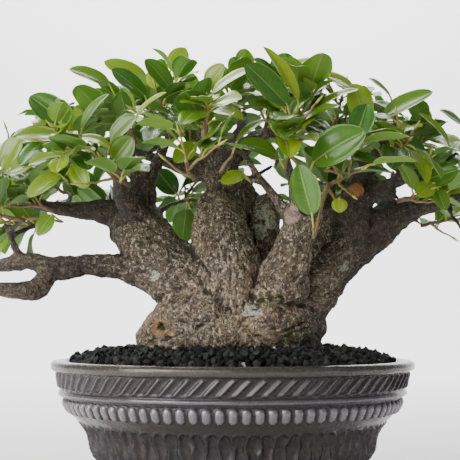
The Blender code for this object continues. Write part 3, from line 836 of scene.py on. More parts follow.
def crease_depth(points):
    """How deep the creases are at each point, judged mostly by where they run on the front."""
    depth = np.zeros(len(points))
    for line, width, deep in CREASES:
        rows = smooth_path([Vector(p) for p in line], 5)
        for i, row in enumerate(rows):
            gap = (points / MM - np.array(row)) * (1.0, 0.28, 1.0)
            fade = math.sin(math.pi * (i + 0.5) / len(rows)) ** 0.6
            cut = deep * fade * np.exp(-(gap ** 2).sum(1) / (width * fade) ** 2)
            depth = np.maximum(depth, cut)
    return depth * MM


def swollen_wood():
    """The frame's trunk with its swellings, still as separate closed shells."""
    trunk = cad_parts["trunk"].data
    points = np.array([v.co for v in trunk.vertices])
    faces = [tuple(p.vertices) for p in trunk.polygons]
    for rows in SWELLINGS:
        path = smooth_path([Vector((*place, half)) for place, half in rows], 5)
        shell, shell_faces = rod([p.xyz * MM for p in path], [p.w * MM for p in path], 20)
        faces += [tuple(len(points) + v for v in face) for face in shell_faces]
        points = np.concatenate([points, shell])
    return mesh_from("wood_rough", points, faces)


def joined_wood(settings):
    """The wood's mesh with its shells joined in one even skin."""
    rough = add_object("wood_rough", swollen_wood())
    skin = rough.modifiers.new("Skin", "REMESH")
    skin.mode = "VOXEL"
    skin.voxel_size = settings.voxel
    mesh = mesh_of(rough)
    bpy.data.objects.remove(rough, do_unlink=True)
    return mesh


def grain_of(skin):
    """How far up the wood each point is, and the way that its grain runs."""
    points = skin.points
    base = np.linalg.norm(points - np.array((0, 0, BASE_HEIGHT)), axis=1) < BASE_RADIUS
    flare = np.linalg.norm(points[:, :2], axis=1) * 0.2
    flare += points[:, 2] - (BASE_HEIGHT + BASE_RADIUS)
    reach = skin.averages(np.where(base, flare, skin.distance_from(base)), 12)
    return reach, skin.gradient(reach)


def thickness(mesh, points, normals):
    """How thick the wood is under each point."""
    body = tree_of(mesh)
    found = np.zeros(len(points))
    for i, (place, normal) in enumerate(zip(points, normals)):
        hit = body.ray_cast(Vector(place - normal * 0.3 * MM), Vector(-normal), THICKEST)
        found[i] = hit[3] if hit[3] is not None else THICKEST
    return found


def knot_marks(points):
    """How far the knots and holes raise the wood, with the masks of the holes' rims and pits."""
    rise, ring, pit = np.zeros((3, len(points)))
    for centre, radius, height in KNOTS:
        gap = gap_from(points, centre, radius)
        rise += height * np.exp(-gap * gap * 3.0) - 0.5 * np.exp(-((gap - 0.95) / 0.2) ** 2)
    uneven = 1.0 + 0.22 * noise_at(points, 260.0, 5.0)
    for centre, radius, depth, orange in HOLES:
        gap = gap_from(points, centre, radius) * uneven
        rise += 0.9 * np.exp(-((gap - 0.95) / 0.35) ** 2) - depth * np.exp(-(gap / 0.55) ** 4)
        if depth > 0:
            pit = np.maximum(pit, np.exp(-(gap / 0.6) ** 4))
            ring = np.maximum(ring, orange * np.exp(-((gap - 0.85) / 0.24) ** 2))
        else:
            ring = np.maximum(ring, orange * np.exp(-(gap / 0.85) ** 6))
    return rise * MM, ring, pit


def dark_bark_and_shade(points, normals, patch):
    """How dark the wood is made: dark bark on the outer limbs and high up, with painted shade high up
    and on the undersides, the right and the back.
    """
    x, y, z = points.T / MM
    out = np.abs(x)
    start = 182 - 0.62 * np.minimum(out, 60)
    grown = 0.9 * smoothstep(50, 88, out) + 0.85 * smoothstep(start, start + 26, z)
    grown += 0.28 * smoothstep(12, 55, x)
    grown += 0.55 * smoothstep(0.1, 0.8, -normals[:, 2]) * smoothstep(112, 130, z)
    grown += 0.5 * smoothstep(10, 40, y) * smoothstep(0.2, 0.5, -normals[:, 1])
    return np.clip(grown * (0.85 + 0.3 * patch), 0, 1)


def build_wood(settings):
    skin = Skin(joined_wood(settings))
    mesh = skin.mesh
    skin.relax(14)
    reach, grain = grain_of(skin)
    skin.apply()
    points, normals = skin.points, vectors(mesh.vertices, "normal")
    thick = skin.averages(thickness(mesh, points, normals), 8)
    # 0 on thin twigs and 1 on stout wood, where the bark is rough.
    stout = smoothstep(4 * MM, 14 * MM, thick)
    chance = np.random.default_rng(5)
    coarse = skin.streaks(grain, chance, 16, 5)
    fine = skin.streaks(grain, chance, 6, 4)
    flecks = skin.streaks(grain, chance, 2, 3)
    lumps = noise_at(points, 85.0) + 0.6 * noise_at(points, 170.0, 4.0)
    patch = noise_at(points, 60.0, 7.0)
    cells = cell_edges(points + 0.003 * noise_at(points, 150.0, 9.0)[:, None] * grain, 330.0)
    cracks = 1.0 - smoothstep(0.0, 0.2, cells)
    rings = np.sin(reach / (1.1 * MM) + 5.0 * noise_at(points, 110.0, 3.0))
    rings = rings * smoothstep(0.0, 0.5, patch) * smoothstep(0.5, 1.0, stout)
    crease = crease_depth(points) * (0.75 + 0.6 * noise_at(points, 300.0, 12.0))
    marks, ring, pit = knot_marks(points)
    streaked = 0.24 * coarse + 0.26 * fine + 0.16 * flecks
    rise = settings.lump_depth * lumps * (0.12 + 0.88 * stout)
    rise += settings.grain_depth * streaked * (0.14 + 0.86 * stout)
    rise -= settings.crack_depth * cracks * (0.06 + 0.94 * stout) * (0.45 + 0.4 * patch)
    rise += 0.25 * MM * rings - crease + marks
    skin.points = points + normals * rise[:, None]
    skin.apply()
    masks = {
        # The hollow and deep masks mark where a painted shade darkens the wood.
        "hollow": 0.5 + 0.95 * skin.sunk(normals, 10),
        "deep": 0.5 + 0.22 * (skin.sunk(normals, 50) - 0.4) * stout,
        "grain": 0.5 + 0.5 * (0.55 * coarse + 0.5 * fine),
        "fleck": smoothstep(0.55, 1.15, flecks + 0.25 * fine),
        "stout": stout,
        "ring": ring,
        "pit": pit,
        # Dark outer limbs, with painted shade under the crown and on the undersides, the right and the
        # back.
        "grown": dark_bark_and_shade(skin.points, normals, patch),
        "lichen": patches_on(skin.points, LICHEN),
        "moss": patches_on(skin.points, MOSS),
        "healed": patches_on(skin.points, CUTS),
    }
    for name, values in masks.items():
        set_values(mesh, name, np.clip(values, 0, 1))
    # The crease mask also darkens the creases as a painted shade.
    set_values(mesh, "crease", crease / (2.0 * MM))
    return mesh


def bark_material(settings):
    material, tree, shader = new_material("ficus_bark", 0.8)
    spot = place_of(tree)
    tone = mottle(tree, spot, 210.0, 0.16, settings.middle, settings.light)
    broad = mottle(tree, spot, 36.0, 0.10, (0.165, 0.132, 0.146), (0.330, 0.235, 0.105))
    rosy = mottle(tree, spot, 62.0, 0.06, (0.215, 0.178, 0.128), (0.40, 0.225, 0.150))
    weather = mottle(tree, spot, 24.0, 0.08)
    patchy = mottle(tree, spot, 260.0, 0.05)
    wrinkles = effect(tree, wrinkle_group(), {"Vector": spot, "Scale": 330.0, "Width": 0.07})
    ridges = effect(tree, wrinkle_group(), {"Vector": place_of(tree, (1.0, 1.0, 0.6)),
                                            "Scale": 560.0, "Width": 0.06})
    pores = effect(tree, speckle_group(), {"Vector": spot, "Scale": 560.0, "Size": 0.5,
                                           "Share": 0.16})
    tint = mix(tree, 0.5, tone.outputs["Color"], broad.outputs["Color"])
    tint = mix(tree, 0.3, tint, rosy.outputs["Color"])
    upper = ramp(tree, height_of(tree, spot), 112.0 * MM, 150.0 * MM, 0.08, 0.5)
    tint = mix(tree, upper, tint, (0.098, 0.084, 0.052))
    tint = mix(tree, times(tree, weather.outputs["Mask"], 0.42), tint, settings.dark)
    grain = value_of(tree, "grain")
    tint = cover(tree, tint, grain, 0.45, 0.05, 0.4, settings.dark)
    tint = cover(tree, tint, grain, 0.6, 0.95, 0.4, settings.light)
    for name, shade in (("lichen", settings.lichen), ("moss", settings.moss)):
        edge = ramp(tree, patchy.outputs["Mask"], 0.0, 1.0, -0.42, 0.25)
        tint = cover(tree, tint, total(tree, value_of(tree, name), edge), 0.42, 0.6, 0.8, shade)
    tint = mix(tree, times(tree, wrinkles.outputs["Mask"], 0.72), tint, settings.dark)
    dots = larger(tree, times(tree, pores.outputs["Mask"], 0.62),
                  times(tree, value_of(tree, "fleck"), 0.4))
    dots = larger(tree, dots, times(tree, ridges.outputs["Broken"], 0.75))
    tint = mix(tree, dots, tint, settings.speckle)
    # Painted shade: the hollows, the deep hollows and the creases are darkened.
    tint = cover(tree, tint, value_of(tree, "hollow"), 0.58, 0.95, 0.85, settings.dark)
    tint = cover(tree, tint, value_of(tree, "deep"), 0.58, 0.98, 0.6, settings.dark)
    tint = cover(tree, tint, value_of(tree, "crease"), 0.25, 1.0, 0.8, settings.dark)
    # The dark outer limbs, and a painted shade under the crown and on the undersides, the right and
    # the back.
    tint = mix(tree, times(tree, value_of(tree, "grown"), 0.82), tint, settings.grown)
    tint = cover(tree, tint, value_of(tree, "ring"), 0.1, 0.9, 0.85, settings.ring)
    tint = cover(tree, tint, value_of(tree, "pit"), 0.3, 0.8, 0.85, shade_of(settings.moss, 0.35))
    tint = cover(tree, tint, value_of(tree, "healed"), 0.3, 0.8, 0.8, settings.healed)
    tree.links.new(tint, shader.inputs["Base Color"])
    height = total(tree, times(tree, wrinkles.outputs["Mask"], -0.8), times(tree, dots, 0.5),
                   times(tree, tone.outputs["Fine"], 0.8), times(tree, tone.outputs["Mask"], 0.5))
    rough = ramp(tree, value_of(tree, "stout"), 0.0, 1.0, 0.6, 0.78)
    tree.links.new(rough, shader.inputs["Roughness"])
    bump(tree, shader, height, 0.55 * MM)
    return material


class BONSAI_OT_wood(bpy.types.Operator):
    """Give the trunk and branches their bark"""
    bl_idname = "bonsai.wood"
    bl_label = "Carve Wood"

    def execute(self, context):
        settings = context.scene.bonsai_wood
        mesh = build_wood(settings)
        mesh.shade_smooth()
        mesh.materials.clear()
        mesh.materials.append(bark_material(settings))
        wood = add_object("trunk_bark", mesh)
        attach(wood, "root")
        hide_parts("trunk")
        return {"FINISHED"}


# ---------------------------------------------------------------- leaves

LEAF_ROWS = 12
LEAF_COLUMNS = 9
SIDE_POINTS = LEAF_ROWS * LEAF_COLUMNS
# Shortest and longest twig in millimetres, its thickness and how many leaves it and its side twigs
# have.
TWIG_LENGTHS = (27, 34)
TWIG_RADIUS = 1.25 * MM
TWIG_LEAVES, SIDE_TWIG_LEAVES = 8, 6
# The leaves at whose joints a side twig grows.
SIDE_TWIGS = (0, 2, 4)
# How far round the twig each leaf stands from the one before it.
LEAF_TURN = 2.4
# How much narrower a blade gets towards its stalk and towards its tip.
BLADE_RISE, BLADE_FALL = 0.58, 0.64
# How low the leaves hang along the crown, in millimetres: from, to and the lowest height. The
# first list is for the crown's front alone.
FRONT_HEM = [(-200, -95, 164), (-95, -50, 178), (-50, 12, 188), (12, 95, 178), (95, 200, 164)]
WHOLE_HEM = [(-120, -50, 174), (100, 200, 162)]
FRONT_DEPTH = 12
CROWN_TOP = 0.263
# Blades whose middles are further apart than this can't touch.
BLADE_GAP = 32 * MM
# The part of a set leaf's length round its middle that other leaves leave in view.
CLEAR_VIEW = 0.58
SET_STALK = 7.0 * MM


class Cluster:
    """The leaves and twigs of one shoot, gathered as one mesh."""

    def __init__(self):
        self.points, self.faces, self.uv = [], [], []
        self.tone, self.under, self.material = [], [], []
        self.count = 0

    def add(self, points, faces, uv, tone, under, material):
        """Adds a blade (material 0) or a stalk or twig (material 1)."""
        self.points.append(points)
        self.faces += [tuple(self.count + v for v in face) for face in faces]
        self.uv.append(uv)
        self.tone.append(np.full(len(points), tone))
        self.under.append(under)
        self.material += [material] * len(faces)
        self.count += len(points)

    def mesh(self, name):
        mesh = mesh_from(name, np.concatenate(self.points), self.faces)
        set_values(mesh, "tone", np.concatenate(self.tone))
        set_values(mesh, "under", np.concatenate(self.under))
        uv = np.concatenate(self.uv)
        layer = mesh.uv_layers.new(name="blade")
        order = np.zeros(len(mesh.loops), int)
        mesh.loops.foreach_get("vertex_index", order)
        layer.data.foreach_set("uv", uv[order].reshape(-1))
        mesh.polygons.foreach_set("material_index", self.material)
        mesh.shade_smooth()
        return mesh


def blade_faces():
    """Faces of a blade: its upper side, its underside and the edge between them."""
    count = SIDE_POINTS
    top = grid_faces(LEAF_ROWS, LEAF_COLUMNS, False)
    bottom = [tuple(reversed([v + count for v in face])) for face in top]
    rim = [r * LEAF_COLUMNS for r in range(LEAF_ROWS)]
    rim += [(LEAF_ROWS - 1) * LEAF_COLUMNS + c for c in range(1, LEAF_COLUMNS)]
    rim += [r * LEAF_COLUMNS + LEAF_COLUMNS - 1 for r in range(LEAF_ROWS - 2, -1, -1)]
    rim += [c for c in range(LEAF_COLUMNS - 2, 0, -1)]
    sides = []
    for first, second in zip(rim, rim[1:] + rim[:1]):
        sides.append((second, first, first + count, second + count))
    return top + bottom + sides


BLADE_FACES = blade_faces()
TOP_FACES = grid_faces(LEAF_ROWS, LEAF_COLUMNS, False)
SIDES = np.repeat([0.0, 1.0], SIDE_POINTS)


def blade(long, wide, thick, fold, curl, wave, chance):
    """Points of one leaf with its stalk end at the origin, its tip along +X and its face up."""
    even = np.linspace(0, 1, LEAF_ROWS)
    s = 0.35 * even + 0.65 * (0.5 - 0.5 * np.cos(math.pi * even))
    t = np.linspace(-1, 1, LEAF_COLUMNS)
    t = np.sign(t) * np.abs(t) ** 0.85
    s, t = np.meshgrid(s, t, indexing="ij")
    widest = BLADE_RISE / (BLADE_RISE + BLADE_FALL)
    most = widest ** BLADE_RISE * (1.0 - widest) ** BLADE_FALL
    outline = np.clip(s, 0, 1) ** BLADE_RISE * np.clip(1 - s, 0, 1) ** BLADE_FALL / most
    outline = np.maximum(outline, 0.03)
    half = 0.5 * wide * outline
    y = t * half * math.cos(fold)
    z = (np.sqrt(t * t + 0.02) - math.sqrt(0.02)) * half * math.sin(fold)
    z = z - 0.16 * half * t ** 4
    ripple = np.sin(s * 9.0 + chance.uniform(0, 6.28)) * np.where(t > 0, 1.0, -0.8)
    z = z + wave * wide * outline * t ** 2 * ripple
    bend = curl * s
    x = long * np.sin(bend) / curl + z * np.sin(bend)
    z = z * np.cos(bend) - long * (1 - np.cos(bend)) / curl
    body = 0.5 * thick * (1.0 - 0.75 * t ** 4)
    top = np.stack([x, y, z + body], 2).reshape(-1, 3)
    bottom = np.stack([x, y, z - body], 2).reshape(-1, 3)
    uv = np.stack([s, 0.5 + 0.5 * t], 2).reshape(-1, 2)
    return np.concatenate([top, bottom]), np.concatenate([uv, uv])


def leaf_frame(origin, along, face):
    """A placement with X along the leaf and Z on its upper face."""
    x = along.normalized()
    y = face.cross(x).normalized()
    z = x.cross(y)
    return Matrix.Translation(origin) @ Matrix((x, y, z)).transposed().to_4x4()


def moved(points, frame_of_leaf):
    place = np.array(frame_of_leaf)
    return points @ place[:3, :3].T + place[:3, 3]


def blade_tree(points):
    """The middle of a blade and its upper side as a tree that finds what it touches."""
    top = points[:SIDE_POINTS]
    return Vector(top.mean(0)), BVHTree.FromPolygons(top.tolist(), TOP_FACES)


def scatter(chance, reach):
    return Vector([chance.uniform(-reach, reach) for _ in range(3)])


def rod(path, radii, sides=6):
    """Points and faces of a closed tube along a path."""
    points, faces = [], []
    side = (path[1] - path[0]).orthogonal().normalized()
    for i, place in enumerate(path):
        after = path[min(i + 1, len(path) - 1)]
        before = path[max(i - 1, 0)]
        axis = (after - before).normalized()
        side = (side - axis * side.dot(axis)).normalized()
        other = axis.cross(side)
        for k in range(sides):
            a = 2 * math.pi * k / sides
            points.append(place + (side * math.cos(a) + other * math.sin(a)) * radii[i])
    faces = grid_faces(len(path), sides, True)
    faces.append(tuple(reversed(range(sides))))
    faces.append(tuple((len(path) - 1) * sides + k for k in range(sides)))
    return np.array([tuple(p) for p in points]), faces


def add_rod(cluster, path, radii, young):
    """A stalk or twig; young is 0 for brown and 1 for green."""
    points, faces = rod(path, radii)
    cluster.add(points, faces, np.full((len(points), 2), 0.5), young, np.zeros(len(points)), 1)


def hangs_low(middle, bottom):
    """Whether a leaf hangs lower than the crown does at its place."""
    x, y, _ = middle / MM
    hem = WHOLE_HEM + (FRONT_HEM if y < FRONT_DEPTH else [])
    return any(start < x < end and bottom < level * MM for start, end, level in hem)


class Crown:
    """Every leaf placed so far, to keep new ones clear of them and of the wood."""

    def __init__(self, trunk, settings):
        self.trunk = trunk
        self.settings = settings
        self.placed = []
        self.shown = []
        margin = 0.015 * (CAD_BOX[1][0] - CAD_BOX[0][0]) * Vector((1, 1, 1))
        self.low = Vector(CAD_BOX[0]) - margin
        self.high = Vector(CAD_BOX[1]) + margin

    def fits(self, points):
        """The blade's middle and tree where it has room, or None."""
        low, high = points.min(0), points.max(0)
        if any(low[i] < self.low[i] or high[i] > self.high[i] for i in range(3)):
            return None
        top = points[:SIDE_POINTS]
        x, y, z = top.T
        middle = top.mean(0)
        # The crown is a low dome.
        if np.any(z > CROWN_TOP - 3.0 * x * x - 1.5 * y * y) or hangs_low(middle, low[2]):
            return None
        for place, reach in self.shown:
            across = math.hypot(middle[0] - place.x, middle[2] - place.z)
            if middle[1] < place.y and across < reach:
                return None
        centre, blades = blade_tree(points)
        if blades.overlap(self.trunk):
            return None
        for other, tree in self.placed:
            if (centre - other).length < BLADE_GAP and blades.overlap(tree):
                return None
        return centre, blades


def add_leaf(cluster, crown, root, along, face, size, chance, tone):
    """One leaf with its stalk; returns whether it found room."""
    settings = crown.settings
    long = settings.leaf_length * size
    wide = settings.leaf_width * size * chance.uniform(0.88, 1.1)
    stalk = long * chance.uniform(0.22, 0.32)
    fold = chance.uniform(0.2, 0.6)
    curl = chance.uniform(0.15, 0.95)
    wave = chance.uniform(0.02, 0.08)
    foot = root + (along + Vector((0, 0, 0.25))).normalized() * stalk
    points, uv = blade(long, wide, settings.thickness, fold, curl, wave, chance)
    points = moved(points, leaf_frame(foot, along, face))
    found = crown.fits(points)
    if found is None:
        return False
    crown.placed.append(found)
    middle = found[0]
    if middle.z < 205 * MM and middle.y > -12 * MM and abs(middle.x) < 100 * MM:
        # A leaf in the shade under the crown is given a tone under 0, a painted shade darker than old.
        tone = -0.4 - 0.6 * tone
    cluster.add(points, BLADE_FACES, uv, tone, SIDES, 0)
    bow = root.lerp(foot, 0.5) + (foot - root).length * 0.12 * Vector((0, 0, 1))
    tip = foot + along.normalized() * 0.06 * long
    path = smooth_path([root, bow, foot, tip], 2)
    add_rod(cluster, path, [0.5 * MM] * (len(path) - 1) + [0.25 * MM], 0.75)
    return True


def grow_twig(cluster, crown, start, grow, long, leaves, radius, chance, depth, twigs):
    """A twig with alternate leaves; one of depth 0 has side twigs. Its places go on the twigs list."""
    bend = scatter(chance, 0.35) + Vector((0, 0, 0.18))
    end = start + (grow + 0.35 * bend).normalized() * long
    path = smooth_path([start, start + grow * 0.45 * long, end], 4)
    last = len(path) - 1
    radii = [radius * (1.0 - 0.5 * i / last) for i in range(len(path))]
    # Small kinks at the leaf joints.
    for i in range(1, last):
        path[i] = path[i] + scatter(chance, 0.5) * MM
    add_rod(cluster, path, radii, 0.15 + 0.25 * depth)
    twigs += path[1:]
    spin = chance.uniform(0, 2 * math.pi)
    for i in range(leaves):
        part = 0.25 + 0.73 * i / max(leaves - 1, 1)
        at = part * last
        low = min(int(at), last - 1)
        root = path[low].lerp(path[low + 1], at - low)
        axis = (path[low + 1] - path[low]).normalized()
        side = axis.orthogonal().normalized()
        young = part > 0.8
        for attempt in range(12):
            angle = spin + i * LEAF_TURN + attempt * 0.52
            around = Matrix.Rotation(angle, 3, axis) @ side
            lean = 0.25 + 0.9 * part + chance.uniform(-0.2, 0.3)
            droop = Vector((0, 0, chance.uniform(-0.35, 0.25)))
            along = (around + axis * lean + droop).normalized()
            face = Vector((0, 0, 1.0)) + axis * 0.45 + scatter(chance, 0.45)
            size = chance.uniform(0.72, 1.05) * (0.72 if young and chance.random() < 0.6 else 1.0)
            tone = chance.random() ** 1.7 * 0.8 + (0.3 if young else 0.0)
            if add_leaf(cluster, crown, root, along, face, size, chance, min(tone, 1.0)):
                break
        if depth == 0 and i in SIDE_TWIGS:
            around = Matrix.Rotation(spin + (i + 0.5) * LEAF_TURN, 3, axis) @ side
            turned = (around * 0.9 + axis * 0.8 + Vector((0, 0, 0.25))).normalized()
            grow_twig(cluster, crown, root, turned, long * chance.uniform(0.5, 0.7),
                      SIDE_TWIG_LEAVES, radius * 0.75, chance, 1, twigs)
    # The pointed bud at the end.
    end, axis = path[-1], (path[-1] - path[-2]).normalized()
    bud = [end, end + axis * 2.0 * MM, end + axis * 4.5 * MM, end + axis * 6.5 * MM]
    add_rod(cluster, bud, [0.55 * MM, 0.8 * MM, 0.45 * MM, 0.08 * MM], 1.0)


# Leaves of the front that are listed one by one, in millimetres: where the blade starts, where it
# ends, its width, the way that its face looks, its tone from old to young and how it is folded and
# bent.
SET_LEAVES = [
    ((-93, -47, 211), (-112, -47, 226), 20, (-0.1, -0.8, 0.6), 0.15, 0.5, 0.3),
    ((-71, -20, 238), (-94, -22, 247), 12, (0.1, -0.75, 0.6), 0.35, 0.4, 0.5),
    ((-50, -10, 243), (-75, -14, 253), 13, (0.15, -0.95, 0.4), 0.6, 0.3, 0.4),
    ((-48, -50, 225), (-66, -56, 239), 15, (0.2, -0.8, 0.6), 0.1, 0.35, 0.3),
    ((-34, -50, 229), (-48, -54, 245), 15, (0.3, -0.8, 0.5), 0.2, 0.4, 0.3),
    ((-37, 0, 251), (-28, 2, 265), 13, (0.4, -0.9, 0.3), 0.85, 0.25, 0.2),
    ((-51, -70, 211), (-35, -72, 223), 10, (-0.3, -0.5, 0.9), 1.0, 0.6, 0.2),
    ((-94, -50, 203), (-118, -56, 202), 16, (0.1, -0.7, 0.7), 0.45, 0.35, 0.4),
    ((-130, -30, 188), (-119, -34, 206), 16, (-0.3, -0.9, 0.3), 0.5, 0.3, 0.3),
    ((-64, -70, 193), (-81, -76, 198), 12, (-0.2, -0.6, 0.8), 0.75, 0.35, 0.9),
    ((-85, -70, 185), (-76, -74, 172), 11, (-0.5, -0.6, 0.6), 0.6, 0.3, 0.5),
    ((-21, -42, 201), (-32, -48, 189), 12, (-0.1, -0.95, 0.3), 0.55, 0.3, 0.2),
    ((-100, -40, 161), (-107, -44, 149), 11, (-0.2, -0.9, 0.3), 0.4, 0.3, 0.2),
    ((-93, -60, 181), (-109, -66, 168), 13, (-0.2, -0.8, 0.5), 0.5, 0.35, 0.4),
    ((-123, -45, 184), (-106, -50, 190), 13, (-0.1, -0.8, 0.6), 0.4, 0.35, 0.3),
    ((-65, -65, 198), (-51, -69, 211), 15, (-0.4, -0.8, 0.5), 0.3, 0.5, 0.3),
    ((-82, -55, 206), (-67, -58, 225), 11, (-0.6, -0.6, 0.5), 0.3, 0.55, 0.5),
    ((-30, -45, 212), (-48, -52, 220), 14, (0.1, -0.6, 0.8), 0.2, 0.35, 0.5),
    ((-63, -70, 187), (-53, -74, 199), 14, (0.3, -0.9, 0.3), 0.3, 0.4, 0.2),
    ((-16, -50, 200), (-6, -55, 211), 13, (-0.4, -0.8, 0.5), 0.35, 0.6, 0.3),
    ((6, -55, 182), (-6, -60, 176), 11, (-0.1, -0.8, 0.6), 0.75, 0.3, 0.4),
    ((-11, -60, 225), (10, -66, 237), 13, (-0.3, -0.6, 0.8), 0.5, 0.35, 0.5),
    ((-15, -30, 235), (-5, -34, 247), 14, (-0.5, -0.8, 0.3), 0.75, 0.3, 0.3),
    ((28, -88, 213), (6, -92, 234), 20, (0.3, -0.8, 0.5), 0.15, 0.3, 0.2),
    ((26, -75, 209), (12, -80, 216), 14, (0.1, -0.6, 0.8), 0.35, 0.35, 0.6),
    ((34, -80, 217), (16, -82, 245), 13, (0.7, -0.7, 0.3), 1.0, 0.6, 0.25),
    ((33, -20, 248), (49, -22, 252), 11, (0.1, -0.6, 0.8), 0.75, 0.35, 0.4),
    ((69, -30, 233), (51, -34, 241), 13, (0.2, -0.7, 0.7), 0.9, 0.3, 0.5),
    ((73, -50, 212), (65, -56, 231), 17, (0.2, -0.95, 0.2), 0.75, 0.3, 0.2),
    ((83, -45, 215), (110, -50, 228), 14, (-0.3, -0.8, 0.6), 0.3, 0.4, 0.4),
    ((91, -20, 231), (78, -24, 241), 10, (0.5, -0.5, 0.7), 0.4, 0.4, 0.3),
    ((47, -55, 218), (68, -60, 227), 12, (-0.3, -0.5, 0.9), 0.55, 0.45, 0.5),
    ((120, -40, 201), (103, -44, 217), 10, (0.6, -0.6, 0.5), 0.55, 0.6, 0.3),
    ((137, -10, 213), (120, -16, 224), 13, (0.2, -0.6, 0.8), 0.3, 0.35, 0.4),
    ((41, -90, 183), (67, -97, 198), 25, (-0.35, -0.85, 0.5), 0.18, 0.35, 0.4),
    ((32, -75, 204), (56, -82, 214), 13, (-0.3, -0.5, 0.9), 0.35, 0.4, 0.6),
    ((53, -80, 186), (78, -84, 181), 13, (0.1, -0.6, 0.9), 0.25, 0.35, 1.1),
    ((107, -45, 195), (86, -52, 201), 15, (0.1, -0.8, 0.6), 0.1, 0.3, 0.4),
    ((106, -50, 179), (122, -56, 184), 16, (-0.2, -0.9, 0.4), 0.2, 0.3, 0.3),
    ((109, -55, 177), (99, -59, 169), 10, (0.1, -0.9, 0.4), 0.55, 0.25, 0.2),
    ((111, -50, 175), (115, -54, 162), 10, (0.2, -0.9, 0.2), 0.3, 0.3, 0.3),
    ((57, -60, 168), (57, -62, 160), 9, (0.0, -0.95, 0.2), 0.8, 0.25, 0.2),
    ((40, -93, 156), (33, -97, 181.5), 17, (-0.2, -0.95, 0.15), 0.2, 0.5, 0.2),
    ((24, -75, 188), (3, -80, 194), 16, (0.2, -0.7, 0.7), 0.3, 0.35, 0.7),
    ((2, -70, 197), (18, -74, 208), 11, (-0.5, -0.5, 0.7), 0.35, 0.5, 0.4),
]


def place_set_leaf(cluster, crown, row, chance):
    """A leaf from the given list, with its stalk; returns where the stalk needs a twig."""
    start, end, wide, face, tone, fold, curl = row
    foot, tip = Vector(start) * MM, Vector(end) * MM
    gap = tip - foot
    long = gap.length * curl / (2 * math.sin(curl / 2))
    along, face = gap.normalized(), Vector(face).normalized()
    points, uv = blade(long, wide * MM, crown.settings.thickness, fold, curl, 0.02, chance)
    points = moved(points, leaf_frame(foot, along, face) @ Matrix.Rotation(-curl / 2, 4, "Y"))
    centre, blades = blade_tree(points)
    crown.placed.append((centre, blades))
    crown.shown.append((centre, CLEAR_VIEW * gap.length))
    cluster.add(points, BLADE_FACES, uv, tone, SIDES, 0)
    back = (along * 0.5 + face * 0.1 + Vector((0, -0.3, 0.6))).normalized()
    root = foot - back * SET_STALK
    path = smooth_path([root, foot - back * 3.0 * MM, foot, foot + along * 1.5 * MM], 3)
    add_rod(cluster, path, [0.55 * MM] * (len(path) - 1) + [0.3 * MM], 0.8)
    return root, back


def join_stalk(cluster, crown, root, back, twigs):
    """A thin twig from a stalk to the nearest older twig or branch."""
    def cost(place):
        return (place - root).length + 2.2 * max(place.z - root.z, 0.0)

    best = min(twigs, key=cost)
    wood = crown.trunk.find_nearest(root)[0]
    low_enough = best.z < root.z + 6 * MM or (wood - root).length > 50 * MM
    target = best if low_enough and cost(best) * 1.1 < cost(wood) else wood
    reach = (target - root).length
    if reach < 1.0 * MM:
        return
    bow = root - back * 0.14 * reach
    middle = bow.lerp(target, 0.5) + Vector((0, 0, 0.07 * reach))
    path = smooth_path([root, bow, middle, target], 4)
    last = len(path) - 1
    add_rod(cluster, path, [(0.6 + 0.45 * i / last) * MM for i in range(last + 1)], 0.35)


def shoot_starts(settings):
    """Where each shoot leaves the wood and the way that it grows, layer by layer."""
    starts = []
    for layer, count in ((0, UPPER_SHOOTS), (1, LOWER_SHOOTS)):
        for i in range(count):
            out = math.sqrt((i + 0.5) / count)
            if layer:
                out = 0.62 + 0.38 * out
            angle = i * GOLDEN_ANGLE + layer * 0.9
            x = settings.half_x * out * math.cos(angle)
            y = settings.half_y * out * math.sin(angle)
            top = settings.top - 2.1 * x * x - (2.1 if layer else 4.2) * y * y
            start = Vector((x, y, top - (57 if layer else 33) * MM))
            lift = (1.15 - 0.75 * out) * (0.35 if layer else 1.0)
            grow = Vector((x / settings.half_x, y / settings.half_y, lift)).normalized()
            starts.append((start, grow))
    return starts


def leaf_material(settings):
    material, tree, shader = new_material("ficus_leaf", 0.3, Subsurface_Weight=0.22,
                                          Subsurface_Scale=0.0012, Coat_Roughness=0.2,
                                          Subsurface_Radius=(0.5, 1.0, 0.15))
    lay = add(tree, "ShaderNodeUVMap", uv_map="blade").outputs["UV"]
    parts = add(tree, "ShaderNodeSeparateXYZ", {"Vector": lay})
    s, side = parts.outputs["X"], parts.outputs["Y"]
    t = times(tree, compute(tree, "ABSOLUTE", compute(tree, "SUBTRACT", side, 0.5)), 2.0)
    tone, under = value_of(tree, "tone"), value_of(tree, "under")
    patches = mottle(tree, place_of(tree), 120.0, 0.25, settings.old, shade_of(settings.old, 1.7))
    tint = mix(tree, ramp(tree, tone, 0.0, 1.0), patches.outputs["Color"], settings.young)
    # A tone under 0 darkens the leaf as a painted shade.
    tint = cover(tree, tint, tone, 0.0, -1.0, 0.85, shade_of(settings.old, 0.25))
    midrib = ramp(tree, t, 0.085, 0.02)
    slant = compute(tree, "SUBTRACT", s, times(tree, t, 0.16))
    ribs = ramp(tree, compute(tree, "SINE", times(tree, slant, 75.0)), 0.7, 1.0)
    ribs = times(tree, ribs, ramp(tree, t, 1.0, 0.3))
    edge = ramp(tree, t, 0.93, 1.0)
    light = larger(tree, times(tree, midrib, 0.42), times(tree, ribs, 0.07))
    light = larger(tree, light, times(tree, edge, 0.5))
    tint = mix(tree, times(tree, under, 0.7), tint, settings.under)
    tint = mix(tree, light, tint, settings.vein)
    tree.links.new(tint, shader.inputs["Base Color"])
    rough = total(tree, ramp(tree, under, 0.0, 1.0, 0.27, 0.6),
                  times(tree, patches.outputs["Mask"], 0.08))
    tree.links.new(rough, shader.inputs["Roughness"])
    tree.links.new(ramp(tree, under, 0.0, 1.0, 0.45, 0.0), shader.inputs["Coat Weight"])
    height = total(tree, times(tree, midrib, -1.0), times(tree, ribs, -0.25))
    bump(tree, shader, height, 0.25 * MM, 0.8)
    return material


